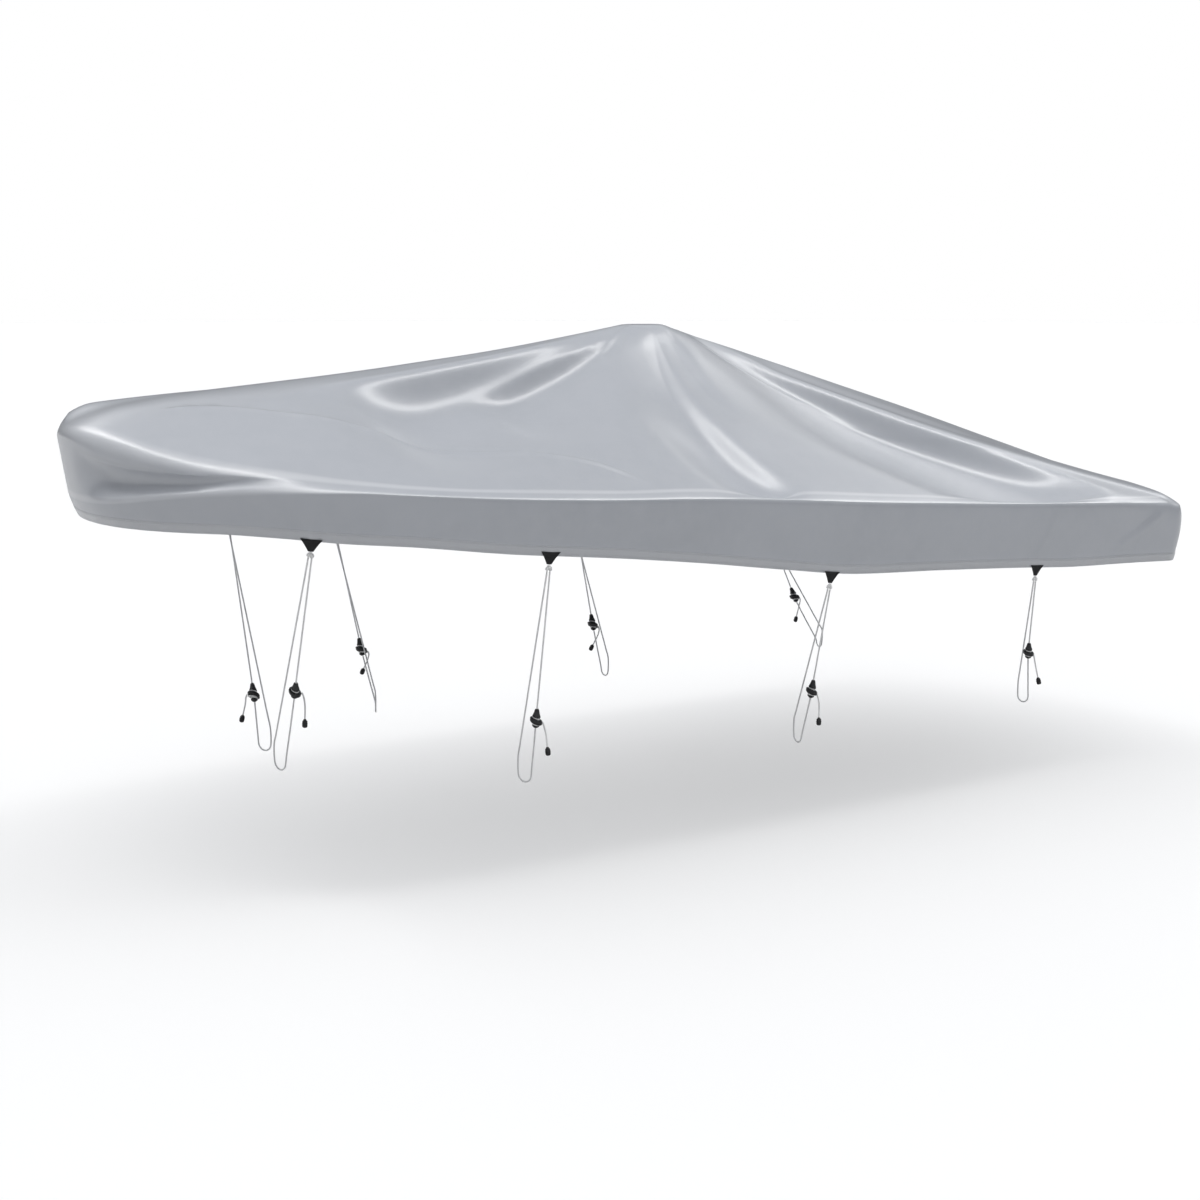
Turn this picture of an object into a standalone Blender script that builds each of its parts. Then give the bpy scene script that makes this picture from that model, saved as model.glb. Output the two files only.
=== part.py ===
# Fitted cover for an open boat of about five metres, shown as it sits when pulled
# down tight: peaked over a support pole, stretched over the bow rail and the
# gunwale, with a hemmed skirt and four ties a side.
#
# Frame: metres, +Z up, +X towards the stern, -Y to port. The origin is on the
# underside of the cloth, in the middle of the small flat place at the peak,
# where a pole carries the cover.
import math

import bmesh
import bpy
import numpy as np
from mathutils import Vector

# ------------------------------------------------------------------ sizes
SHEET = 0.0025            # thickness of the coated cloth
PEAK_R = 0.095            # half width of the flat place at the peak
GROUND_Z = -2.1975        # level ground under the trailer
MID_X = -0.870            # where the plan reaches its full beam
STERN_X = 2.520           # stern end of the cover
BEAM = 1.050              # half of the full beam
STERN_BEAM = 1.005        # half beam at the stern
CORNER_R = 0.090          # plan radius of the stern corners
BOW_POWER = 2.15          # fullness of the bow in plan
GAP = 0.0005              # air left between pieces that touch

TAB_W, TAB_TIP_W, TAB_H, TAB_T = 0.082, 0.020, 0.050, 0.0022
KNOT_H = 0.027
ROPE_D = 0.0068
STRAND = 0.0062           # half the spacing of the two strands under a knot
TENSIONER_H = 0.086
CAP_H, CAP_R = 0.034, 0.011
RAIL_TOP, RAIL_BOTTOM = -1.708, -1.808   # heights where the rope turns round the trailer

# columns and rings of the cloth
PORT_COLUMNS, STARBOARD_COLUMNS = 76, 40
CROWDED = [(0.075, 0.050, 1.2), (0.405, 0.045, 1.2)]   # s, width and strength where columns crowd
TOP_T = (0.0, 0.06, 0.13, 0.20, 0.28, 0.36, 0.44, 0.52, 0.60, 0.68, 0.76, 0.84, 0.91, 0.955, 1.0)
BAND_V = (0.0, 0.18, 0.42, 0.70, 1.0)

# the three lines that run round the cover: the rail line where the top ends,
# the edge line along the gunwale, and the hem
RING = {          #   nose_x  extra half beam
    "rail": (-2.625, -0.002),
    "edge": (-2.580, 0.004),
    "hem":  (-2.552, -0.012),
}
# heights above the ground of those lines, by station along the boat
SIDE = [  # x       rail   edge   hem
    (-2.655, 1.846, 1.580, 1.492),
    (-2.570, 1.826, 1.600, 1.490),
    (-2.470, 1.790, 1.624, 1.489),
    (-2.320, 1.750, 1.642, 1.488),
    (-2.140, 1.713, 1.648, 1.476),
    (-1.910, 1.669, 1.642, 1.451),
    (-1.670, 1.640, 1.625, 1.431),
    (-1.270, 1.610, 1.594, 1.383),
    (-0.870, 1.584, 1.568, 1.342),
    (-0.420, 1.560, 1.544, 1.284),
    (0.040, 1.526, 1.510, 1.215),
    (0.410, 1.492, 1.476, 1.165),
    (0.900, 1.454, 1.438, 1.137),
    (1.360, 1.419, 1.403, 1.107),
    (1.780, 1.393, 1.377, 1.076),
    (2.130, 1.370, 1.354, 1.062),
    (2.520, 1.349, 1.333, 1.042),
]
STERN = [  # |y|   height above the ground of the arched stern edge
    (0.000, 1.482), (0.100, 1.464), (0.250, 1.440), (0.450, 1.416),
    (0.650, 1.398), (0.850, 1.374), (1.005, 1.349),
]
FLARE = [  # x of the edge line, how far it stands out past the hull line
    (-2.65, 0.000), (-2.45, 0.018), (-2.25, 0.030), (-2.00, 0.022), (-1.70, 0.000), (2.52, 0.000),
]
SHOULDER = [  # u along the half outline, inset of the rail line, extra drop of the edge line
    (0.00, 0.000, 0.000), (0.30, 0.000, 0.000), (0.42, 0.009, 0.000), (0.78, 0.010, 0.000),
    (0.848, 0.040, 0.024), (0.90, 0.012, 0.004), (1.00, 0.010, 0.000),
]
CROWN = [  # x of the rail end, rise of the bow panel over a straight line
    (-2.625, 0.084), (-2.560, 0.076), (-2.460, 0.058), (-2.300, 0.032), (-2.100, 0.012), (-1.800, 0.000),
]
CROWN_SHAPE = [  # t   share of that rise
    (0.00, 0.00), (0.25, -0.06), (0.43, 0.04), (0.56, 0.20), (0.68, 0.40), (0.76, 0.56),
    (0.84, 0.80), (0.90, 0.93), (0.947, 1.00), (0.975, 0.80), (0.99, 0.48), (1.00, 0.00),
]
# the same at the nose, and along the near side, where the top turns down tightly
HANG = 0.22            # how far the bow panel hangs in, as a share of its height
CROWN_NOSE = [
    (0.00, 0.00), (0.25, -0.06), (0.43, 0.04), (0.56, 0.20), (0.68, 0.38), (0.76, 0.50),
    (0.84, 0.61), (0.90, 0.61), (0.947, 0.47), (0.975, 0.26), (0.99, 0.11), (1.00, 0.00),
]
CROWN_NEAR = [
    (0.00, 0.00), (0.25, -0.06), (0.43, 0.04), (0.56, 0.18), (0.68, 0.33), (0.78, 0.40),
    (0.86, 0.36), (0.92, 0.25), (0.96, 0.14), (1.00, 0.00),
]
SAG = [  # u along the half outline, depth of the hollow between peak and edge
    (0.00, 0.000), (0.15, 0.008), (0.35, 0.022), (0.55, 0.030), (0.72, 0.044), (0.84, 0.056),
    (0.90, 0.040), (0.96, 0.008), (1.00, -0.010),
]
BELLY = [  # u along the half outline, how far the skirt swells between edge and hem
    (0.00, 0.004), (0.30, 0.004), (0.60, 0.006), (0.80, 0.008), (0.848, 0.020), (0.90, 0.008), (1.00, 0.006),
]
# where the cloth falls steeply from a fold before it flares out to the panel below:
# ends of its upper edge in plan, bend, the side it falls to (left of the run is 1), widths
# at the two ends, how soon it falls, how far the hollow below reaches,
# and its drop at five places along it
LEDGES = [
    ("aft_hip",      0.259,  0.012,  1.871, -0.823, -0.029, -1, 0.050, 0.125,  2.5, 0.60, (0.007, 0.094, 0.136, 0.118, 0.070)),
    ("fore_spine",  -0.164, -0.054, -1.614, -0.197,  0.005,  1, 0.042, 0.180,  2.5, 0.75, (0.004, 0.038, 0.115, 0.145, 0.055)),
    ("fore_fold",   -0.149, -0.085, -0.996, -0.216, -0.007,  1, 0.045, 0.100,  2.5, 0.55, (0.000, 0.050, 0.082, 0.070, 0.025)),
    ("side_fold",    0.010, -0.130,  0.130, -1.000,  0.110, -1, 0.050, 0.090,  1.4, 0.35, (0.014, 0.058, 0.070, 0.080, 0.060)),
    ("side_soft",    0.075, -0.135,  0.150, -0.600,  0.010, -1, 0.040, 0.060,  1.4, 0.25, (0.006, 0.024, 0.026, 0.012, 0.000)),
    ("far_hip",      0.330,  0.120,  1.900,  0.850,  0.020,  1, 0.060, 0.120,  2.2, 0.55, (0.004, 0.050, 0.085, 0.075, 0.040)),
    ("far_spine",   -0.260,  0.130, -1.600,  0.420,  0.010, -1, 0.060, 0.160,  2.2, 0.60, (0.004, 0.040, 0.070, 0.055, 0.020)),
    ("far_side",     0.020,  0.150,  0.090,  1.000, -0.040, -1, 0.060, 0.090,  1.4, 0.35, (0.006, 0.026, 0.036, 0.036, 0.024)),
]
# the rounded folds of the top: the two ends of each in plan, how far its middle bends
# aside, its half widths at the two ends and its height
FOLDS = [  # name         x0      y0      x1      y1     bend     w0     w1    height
    ("fore_ridge",      -0.149, -0.085, -1.080, -0.230, -0.007, 0.020, 0.035,  0.008),
    ("fore_crest",      -0.350, -0.060, -1.700, -0.200,  0.000, 0.040, 0.070,  0.010),
    ("stern_panel",      0.500, -0.050,  2.000, -0.450,  0.000, 0.060, 0.120, -0.012),
    ("far_hollow",       0.300,  0.140,  1.350,  0.900,  0.000, 0.050, 0.100, -0.012),
    ("far_aft",          0.240,  0.080,  1.900,  0.780, -0.030, 0.040, 0.080,  0.012),
    ("far_side_hollow", -0.100,  0.150, -0.450,  0.900,  0.000, 0.060, 0.110, -0.012),
    ("far_fore",        -0.140,  0.090, -1.500,  0.380,  0.010, 0.035, 0.070,  0.012),
]
# the ties: place of the tab along the hem (s), how far the tab laps onto the hem, top of
# the tensioner, where the rope turns round the trailer on its outer and inner side, the
# side the free tail leaves by, and the lower end of that tail
TIES = [  # name       s       lap    tensioner top            outer x, y       inner x, y      side  tail end
    ("port_1",      0.0809, 0.010, (-1.873, -0.377, -1.357), (-1.790, -0.040), (-1.811, 0.030), 1, (-1.838, -0.372, -1.509)),
    ("port_2",      0.1525, 0.018, (-1.047, -0.839, -1.474), (-1.016, -0.735), (-1.043, -0.676), 1, (-1.014, -0.862, -1.630)),
    ("port_3",      0.2575, 0.008, (0.296, -0.911, -1.505), (0.305, -0.825), (0.309, -0.766), 1, (0.318, -0.926, -1.672)),
    ("port_4",      0.3502, 0.012, (1.598, -0.903, -1.486), (1.707, -0.805), (1.698, -0.746), 1, (1.652, -0.916, -1.655)),
    ("starboard_1", 0.8922, 0.010, (-1.730, 0.467, -1.538), (-1.755, 0.350), (-1.720, 0.295), -1, (-1.779, 0.462, -1.674)),
    ("starboard_2", 0.8475, 0.018, (-1.047, 0.839, -1.474), (-1.016, 0.735), (-1.043, 0.676), 1, (-1.014, 0.862, -1.630)),
    ("starboard_3", 0.7425, 0.008, (0.296, 0.911, -1.505), (0.305, 0.825), (0.309, 0.766), 1, (0.318, 0.926, -1.672)),
    ("starboard_4", 0.6498, 0.012, (1.598, 0.903, -1.486), (1.707, 0.805), (1.698, 0.746), 1, (1.652, 0.916, -1.655)),
]
TENSIONER = [  # distance from the top, radius, tilt in degrees
    (0.000, 0.0045, 0), (0.004, 0.0085, 0), (0.020, 0.0120, 2), (0.034, 0.0165, 10),
    (0.039, 0.0110, 18), (0.044, 0.0110, 20), (0.046, 0.0238, 22), (0.054, 0.0252, 22),
    (0.064, 0.0235, 22), (0.066, 0.0100, 18), (0.072, 0.0100, 12), (0.074, 0.0150, 8),
    (TENSIONER_H, 0.0060, 0),
]
KNOT = [  # distance down from the tip of the tab, half width, half depth
    (0.0000, 0.0030, 0.0025), (0.0060, 0.0075, 0.0050), (0.0170, 0.0145, 0.0085),
    (0.0220, 0.0140, 0.0085), (KNOT_H, 0.0105, 0.0060),
]
CAP = [  # distance down, radius
    (0.000, 0.0060), (0.005, 0.0098), (0.014, CAP_R), (0.026, 0.0104), (CAP_H, 0.0055),
]
COLOURS = {  # base colour, roughness, metallic
    "cover_cloth": ((0.43, 0.45, 0.49), 0.42, 0.0),
    "webbing": ((0.012, 0.012, 0.013), 0.75, 0.0),
    "rope": ((0.86, 0.86, 0.85), 0.60, 0.0),
    "tensioner": ((0.016, 0.016, 0.017), 0.38, 0.0),
    "end_cap": ((0.014, 0.014, 0.015), 0.50, 0.0),
}


# ------------------------------------------------------------------ curves
def curve(table, x, col=1):
    """Smooth curve through one column of a table, with no overshoot."""
    t = np.array([[r[0], r[col]] for r in table], float)
    xs, ys = t[:, 0], t[:, 1]
    h = np.diff(xs)
    d = np.diff(ys) / h
    m = np.zeros_like(ys)
    m[0], m[-1] = d[0], d[-1]
    for i in range(1, len(xs) - 1):
        if d[i - 1] * d[i] > 0:
            a, b = 2 * h[i] + h[i - 1], h[i] + 2 * h[i - 1]
            m[i] = (a + b) / (a / d[i - 1] + b / d[i])
    x = np.clip(np.asarray(x, float), xs[0], xs[-1])
    i = np.clip(np.searchsorted(xs, x) - 1, 0, len(xs) - 2)
    s = (x - xs[i]) / h[i]
    return ((1 + 2 * s) * (1 - s) ** 2 * ys[i] + s * (1 - s) ** 2 * h[i] * m[i]
            + s * s * (3 - 2 * s) * ys[i + 1] + s * s * (s - 1) * h[i] * m[i + 1])


def smooth(a):
    a = np.clip(a, 0.0, 1.0)
    return a * a * (3 - 2 * a)


def plan_line(name):
    """Port half of one line in plan, from the nose round to the middle of the stern."""
    nose, extra = RING[name]
    th = np.linspace(0, math.pi / 2, 400)
    x = MID_X - (MID_X - nose) * np.cos(th)
    y = BEAM * (1 - np.cos(th) ** 2) ** (1 / BOW_POWER) + extra * np.sin(th)
    xa = np.linspace(MID_X, STERN_X - CORNER_R, 200)[1:]
    ya = BEAM - (BEAM - STERN_BEAM) * ((xa - MID_X) / (STERN_X - MID_X)) ** 2 + extra
    a = np.linspace(0, math.pi / 2, 24)[1:]
    xc = STERN_X - CORNER_R + (CORNER_R + 0.6 * extra) * np.sin(a)
    yc = ya[-1] - CORNER_R + CORNER_R * np.cos(a)
    ys = np.linspace(yc[-1], 0, 60)[1:]
    x, y = np.r_[x, xa, xc, np.full_like(ys, xc[-1])], np.r_[y, ya, yc, ys]
    run = np.r_[0, np.cumsum(np.hypot(np.diff(x), np.diff(y)))]
    tx, ty = np.gradient(x, run), np.gradient(y, run)
    if name == "edge":
        out = curve(FLARE, x)
    elif name == "rail":
        out = -curve(SHOULDER, run / run[-1], 1)
    else:
        out = np.zeros_like(x)
    return x - out * ty, -(y + out * tx), run


PLAN = {name: plan_line(name) for name in RING}
_run = PLAN["rail"][2]
HALF_LENGTH = float(_run[-1])
U = _run / _run[-1]


def line(name, s):
    """Points of one line at s: 0 at the nose, by port to 0.5 at the stern, on to 1."""
    s = np.asarray(s, float) % 1.0
    port = s <= 0.5
    u = np.where(port, 2 * s, 2 * (1 - s))
    x, y = np.interp(u, U, PLAN[name][0]), np.interp(u, U, PLAN[name][1])
    rx, ry = np.interp(u, U, PLAN["rail"][0]), np.interp(u, U, PLAN["rail"][1])
    z = curve(SIDE, rx, {"rail": 1, "edge": 2, "hem": 3}[name])
    if name != "hem":
        drop = 0.0 if name == "rail" else 0.016 + curve(SHOULDER, u, 2)
        w = smooth((rx - (STERN_X - 0.06 - CORNER_R)) / CORNER_R)
        z = z * (1 - w) + (curve(STERN, np.abs(ry)) - drop) * w
    return np.stack([x, np.where(port, y, -y), z + GROUND_Z], -1), u


TURN = 0.030          # how round the cloth turns over the edge of a fold


def ledge_drop(x, y):
    """How far the cloth hangs below its tight shape under the edges of its folds."""
    total = np.zeros_like(x)
    for name, x0, y0, x1, y1, bend, side, w0, w1, soon, reach, drops in LEDGES:
        long = math.hypot(x1 - x0, y1 - y0)
        ex, ey = (x1 - x0) / long, (y1 - y0) / long
        f = ((x - x0) * ex + (y - y0) * ey) / long
        g = np.clip(f, 0, 1)
        d = side * ((y - y0) * ex - (x - x0) * ey) - 4 * bend * g * (1 - g)
        w = w0 + (w1 - w0) * g
        q = np.clip(0.5 * (d + np.sqrt(d * d + TURN * TURN)) / w, 0, 1)
        fall = 1 - (1 - q) ** soon
        high = curve([(0.25 * k, v) for k, v in enumerate(drops)], g)
        high = high * smooth(f / 0.10 + 0.5) * smooth((1.16 - f) / 0.28)
        total = total + high * fall * (1 - smooth((d - w) / reach))
    return total


def fold_height(x, y):
    """Rise of the cloth over its tight shape at a point in plan, from all the folds."""
    total = np.zeros_like(x)
    for name, x0, y0, x1, y1, bend, w0, w1, high in FOLDS:
        long = math.hypot(x1 - x0, y1 - y0)
        ex, ey = (x1 - x0) / long, (y1 - y0) / long
        f = np.clip(((x - x0) * ex + (y - y0) * ey) / long, 0, 1)
        d = (y - y0) * ex - (x - x0) * ey - 4 * bend * f * (1 - f)
        w = w0 + (w1 - w0) * f
        total = total + high * smooth(f / 0.16) * smooth((1 - f) / 0.28) * np.exp(-(d / w) ** 2)
    return total


def top(s, t):
    """Top panel at s round the cover and t from the peak (0) to the rail line (1)."""
    s, t = np.broadcast_arrays(np.asarray(s, float), np.asarray(t, float))
    R, u = line("rail", s)
    k = PEAK_R / np.hypot(R[..., 0], R[..., 1])
    f = k + (1 - k) * t
    rise = np.where(R[..., 0] < -1.8, curve(CROWN, R[..., 0]), 0.0)
    side = np.where(s < 0.5, s, s - 1.0)
    far, near = smooth((-side - 0.010) / 0.015), smooth(side / 0.035)
    shape = (curve(CROWN_SHAPE, t) * far
             + (1 - far) * (curve(CROWN_NOSE, t) * (1 - near) + curve(CROWN_NEAR, t) * near))
    x, y = R[..., 0] * f, R[..., 1] * f
    z = (SHEET + (R[..., 2] - SHEET) * t + rise * shape
         - curve(SAG, u) * 4 * t * (1 - t) + fold_height(x, y) - ledge_drop(x, y) * smooth((1 - t) / 0.05))
    return np.stack([x, y, z], -1)


def band(s, v):
    """Skirt at s round the cover and v from the edge line (0) to the hem (1)."""
    s, v = np.broadcast_arrays(np.asarray(s, float), np.asarray(v, float))
    E, u = line("edge", s)
    H, _ = line("hem", s)
    A, B = line("hem", s + 0.002)[0], line("hem", s - 0.002)[0]
    out = np.stack([(A - B)[..., 1], -(A - B)[..., 0]], -1)
    out = out / np.linalg.norm(out, axis=-1, keepdims=True)
    swell = curve(BELLY, u) * np.sin(math.pi * np.clip(v, 0, 1) ** 0.7)
    P = E + (H - E) * v[..., None]
    P[..., :2] += out * swell[..., None]
    return P


# ------------------------------------------------------------------ pieces
def material(name):
    mat = bpy.data.materials.get(name)
    if mat is None:
        colour, rough, metal = COLOURS[name]
        mat = bpy.data.materials.new(name)
        mat.use_nodes = True
        bsdf = mat.node_tree.nodes["Principled BSDF"]
        bsdf.inputs["Base Color"].default_value = (*colour, 1.0)
        bsdf.inputs["Roughness"].default_value = rough
        bsdf.inputs["Metallic"].default_value = metal
    return mat


def add_object(name, data, mat):
    ob = bpy.data.objects.new(name, data)
    bpy.context.scene.collection.objects.link(ob)
    data.materials.append(material(mat))
    return ob


def add_mesh(name, verts, faces, mat, smooth_angle=None):
    me = bpy.data.meshes.new(name)
    me.from_pydata([tuple(map(float, v)) for v in verts], [], faces)
    bm = bmesh.new()
    bm.from_mesh(me)
    bmesh.ops.recalc_face_normals(bm, faces=bm.faces)
    bm.to_mesh(me)
    bm.free()
    if smooth_angle is not None:
        me.shade_smooth()
        me.set_sharp_from_angle(angle=math.radians(smooth_angle))
    return add_object(name, me, mat)


def loft(name, rings, mat):
    """Closed solid through equal rings of points, flat at both ends."""
    n = len(rings[0])
    verts = [p for ring in rings for p in ring]
    faces = [tuple(reversed(range(n)))]
    for i in range(len(rings) - 1):
        for j in range(n):
            k = (j + 1) % n
            faces.append((i * n + j, i * n + k, (i + 1) * n + k, (i + 1) * n + j))
    faces.append(tuple(range((len(rings) - 1) * n, len(rings) * n)))
    return add_mesh(name, verts, faces, mat, 40)


def panel_middle(s):
    """Middle of the bow panel between the rail and the gunwale, where it hangs in."""
    R, E = top(s, np.ones(len(s))), line("edge", s)[0]
    tall = np.linalg.norm(R - E, axis=1)
    flank = np.where(s < 0.5, smooth((s - 0.002) / 0.020) * smooth((0.150 - s) / 0.090),
                     smooth((1 - s - 0.050) / 0.020) * smooth((0.150 - (1 - s)) / 0.070))
    A, B = line("hem", s + 0.002)[0], line("hem", s - 0.002)[0]
    out = np.stack([(A - B)[..., 1], -(A - B)[..., 0]], -1)
    out = out / np.linalg.norm(out, axis=-1, keepdims=True)
    P = 0.5 * (R + E)
    P[..., :2] -= out * (HANG * tall * flank)[:, None]
    return P


def columns(port, far):
    """Places round the cover of its columns, closer where the folds of a side run."""
    grid = np.linspace(0, 0.5, 2001)
    rho = 1 + sum(k * np.exp(-((grid - c) / w) ** 2) for c, w, k in CROWDED)
    run = np.r_[0, np.cumsum(0.5 * (rho[1:] + rho[:-1]))]
    run = run / run[-1]
    return np.r_[np.interp(np.arange(port) / port, run, grid),
                 1 - np.interp(1 - np.arange(far) / far, run, grid)]


def build_cover():
    s = columns(PORT_COLUMNS, STARBOARD_COLUMNS)
    n = len(s)
    rows = [top(s, np.full(n, t)) for t in TOP_T]
    rows.append(panel_middle(s))
    rows += [band(s, np.full(n, v)) for v in BAND_V]
    verts = np.concatenate(rows + [np.array([[0.0, 0.0, SHEET]])])
    hub = len(verts) - 1
    faces = [(hub, j, (j + 1) % n) for j in range(n)]
    for i in range(len(rows) - 1):
        for j in range(n):
            k = (j + 1) % n
            faces.append((i * n + j, (i + 1) * n + j, (i + 1) * n + k, i * n + k))
    me = bpy.data.meshes.new("cover")
    me.from_pydata([tuple(map(float, v)) for v in verts], [], faces)
    bm = bmesh.new()
    bm.from_mesh(me)
    bmesh.ops.recalc_face_normals(bm, faces=bm.faces)
    bm.faces.ensure_lookup_table()
    if bm.faces[0].normal.z < 0:
        bmesh.ops.reverse_faces(bm, faces=bm.faces)
    bmesh.ops.triangulate(bm, faces=bm.faces, quad_method="SHORT_EDGE")
    bm.to_mesh(me)
    bm.free()
    me.shade_smooth()
    me.set_sharp_from_angle(angle=math.radians(50))
    ob = add_object("cover", me, "cover_cloth")
    solid = ob.modifiers.new("cloth", "SOLIDIFY")
    solid.thickness = SHEET
    solid.offset = -1.0
    solid.use_even_offset = True
    solid.use_rim = True
    return ob


def hem_frame(s):
    """Point on the hem, and its directions along, up the skirt and outwards."""
    H = Vector(band(s, 1.0))
    along = (Vector(band(s + 0.003, 1.0)) - Vector(band(s - 0.003, 1.0))).normalized()
    up = (Vector(band(s, 0.80)) - H).normalized()
    out = along.cross(up).normalized()
    if out.dot(Vector((H.x * 0.3, H.y, 0.0))) < 0:
        out = -out
    up = (up - along * up.dot(along)).normalized()
    return H, along, up, out


def tube(name, points, mat="rope"):
    cu = bpy.data.curves.new(name, "CURVE")
    cu.dimensions = "3D"
    cu.bevel_depth = ROPE_D / 2
    cu.bevel_resolution = 2
    cu.use_fill_caps = True
    sp = cu.splines.new("POLY")
    sp.points.add(len(points) - 1)
    for q, p in zip(sp.points, points):
        q.co = (*p, 1.0)
    return add_object(name, cu, mat)


def through(points, counts):
    """Points read from one smooth curve through the route's own points."""
    P = [Vector(p) for p in points]
    P = [P[0] * 2 - P[1]] + P + [P[-1] * 2 - P[-2]]
    out = [P[1]]
    for i, n in enumerate(counts):
        a, b, c, d = P[i:i + 4]
        t0 = 0.0
        t1 = t0 + (b - a).length ** 0.5
        t2 = t1 + (c - b).length ** 0.5
        t3 = t2 + (d - c).length ** 0.5
        for k in range(1, n + 1):
            t = t1 + (t2 - t1) * k / n
            A1 = a * ((t1 - t) / (t1 - t0)) + b * ((t - t0) / (t1 - t0))
            A2 = b * ((t2 - t) / (t2 - t1)) + c * ((t - t1) / (t2 - t1))
            A3 = c * ((t3 - t) / (t3 - t2)) + d * ((t - t2) / (t3 - t2))
            B1 = A1 * ((t2 - t) / (t2 - t0)) + A2 * ((t - t0) / (t2 - t0))
            B2 = A2 * ((t3 - t) / (t3 - t1)) + A3 * ((t - t1) / (t3 - t1))
            out.append(B1 * ((t2 - t) / (t2 - t1)) + B2 * ((t - t1) / (t2 - t1)))
    return out


def loop_route(start, outer, inner, end):
    """From the knot down inside the trailer rail, round under it and up to the tensioner."""
    i = Vector((inner[0], inner[1], RAIL_TOP))
    o = Vector((outer[0], outer[1], RAIL_BOTTOM + 0.030))
    half = (Vector((inner[0], inner[1], 0)) - Vector((outer[0], outer[1], 0))) * 0.5
    mid = Vector((outer[0], outer[1], 0)) + half
    r = half.length
    bend = []
    for k in range(7):
        a = math.pi * k / 6
        bend.append(mid + half * math.cos(a) + Vector((0, 0, RAIL_BOTTOM + r - r * math.sin(a))))
    pts = [start, start.lerp(i, 0.35), start.lerp(i, 0.72), start.lerp(i, 0.94), i] + bend
    pts += [bend[-1].lerp(end, 0.12) + Vector((0, 0, 0.004)), bend[-1].lerp(end, 0.5), end]
    counts = [1, 1, 1, 2, 2, 1, 1, 1, 1, 1, 1, 1, 1, 1]
    return through(pts, counts)


def build_tie(name, s, lap, top_point, outer, inner, side, tail_end):
    H, along, up, out = hem_frame(s)
    # tab of webbing on the outside of the hem
    c = H + out * (GAP + TAB_T / 2 + 0.0006)
    hi, lo = lap, lap - TAB_H
    corners = [(-TAB_W / 2, hi), (TAB_W / 2, hi), (TAB_TIP_W / 2, lo), (-TAB_TIP_W / 2, lo)]
    rings = [[c + along * a + up * b + out * d for a, b in corners] for d in (-TAB_T / 2, TAB_T / 2)]
    loft("tab_" + name, rings, "webbing")
    # knot under the tip of the tab
    tip = c + up * (lo - GAP)
    down = (Vector(top_point) - tip).normalized()
    wide_way = (along - down * along.dot(down)).normalized()
    deep_way = down.cross(wide_way)
    if deep_way.dot(out) < 0:
        deep_way = -deep_way
    tip = tip + down * (0.5 * KNOT[0][2] + 0.0010)
    rings = []
    for dist, wide, deep in KNOT:
        m = tip + down * dist
        rings.append([m + wide_way * wide * math.cos(a) + deep_way * deep * math.sin(a)
                      for a in (2 * math.pi * j / 8 for j in range(8))])
    loft("knot_" + name, rings, "rope")
    # which strand goes to the tensioner follows where it hangs
    right = along if along.x > 0 else -along
    foot = tip + down * (KNOT_H + 0.0026)
    # tensioner on the outer strand, tilted drum under a bell
    T0 = Vector(top_point)
    hang = (T0 - foot).normalized()
    axis = (hang * 0.75 + (Vector((outer[0], outer[1], RAIL_BOTTOM)) - T0).normalized() * 0.25).normalized()
    sideways = Vector((1, 0, 0))
    sideways = (sideways - axis * axis.dot(sideways)).normalized()
    deepways = axis.cross(sideways)
    rings = []
    for dist, radius, tilt in TENSIONER:
        tn = math.tan(math.radians(tilt))
        rings.append([T0 + axis * dist + sideways * radius * math.cos(a) + deepways * radius * math.sin(a)
                      + axis * radius * math.cos(a) * tn
                      for a in (2 * math.pi * j / 10 for j in range(10))])
    loft("tensioner_" + name, rings, "tensioner")
    # hanger: straight from the knot to the tensioner
    a = foot + right * STRAND
    b = T0 - axis * 0.0012
    tube("hanger_" + name, [a.lerp(b, k / 5) for k in range(6)])
    # loop: from the knot, round the rail, up to the tensioner
    end = T0 + axis * (TENSIONER_H + 0.0026)
    tube("loop_" + name, loop_route(foot - right * STRAND, outer, inner, end))
    # free tail, out of the side of the drum and down
    w = side * (0.0262 + ROPE_D / 2)
    p0 = T0 + axis * (0.060 + 0.009 * side) + sideways * w
    end = Vector(tail_end)
    drop = p0.z - end.z
    pts = [p0, p0 + Vector((side * 0.006, 0, -0.014)),
           Vector((p0.x + side * 0.007, (p0.y * 2 + end.y) / 3, p0.z - drop * 0.45)),
           Vector((end.x, end.y, end.z))]
    tail = through(pts, [2, 3, 3])
    tube("tail_" + name, tail)
    # end cap, in line with the end of the tail
    fall = (tail[-1] - tail[-2]).normalized()
    ex = (Vector((1, 0, 0)) - fall * fall.x).normalized()
    ey = fall.cross(ex)
    rings = []
    for dist, radius in CAP:
        rings.append([end + fall * (GAP + dist) + ex * radius * math.cos(a) + ey * radius * math.sin(a)
                      for a in (2 * math.pi * j / 8 for j in range(8))])
    loft("end_cap_" + name, rings, "end_cap")


def main():
    for ob in list(bpy.data.objects):
        bpy.data.objects.remove(ob, do_unlink=True)
    build_cover()
    for row in TIES:
        build_tie(*row)


main()
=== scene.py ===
import math

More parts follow.
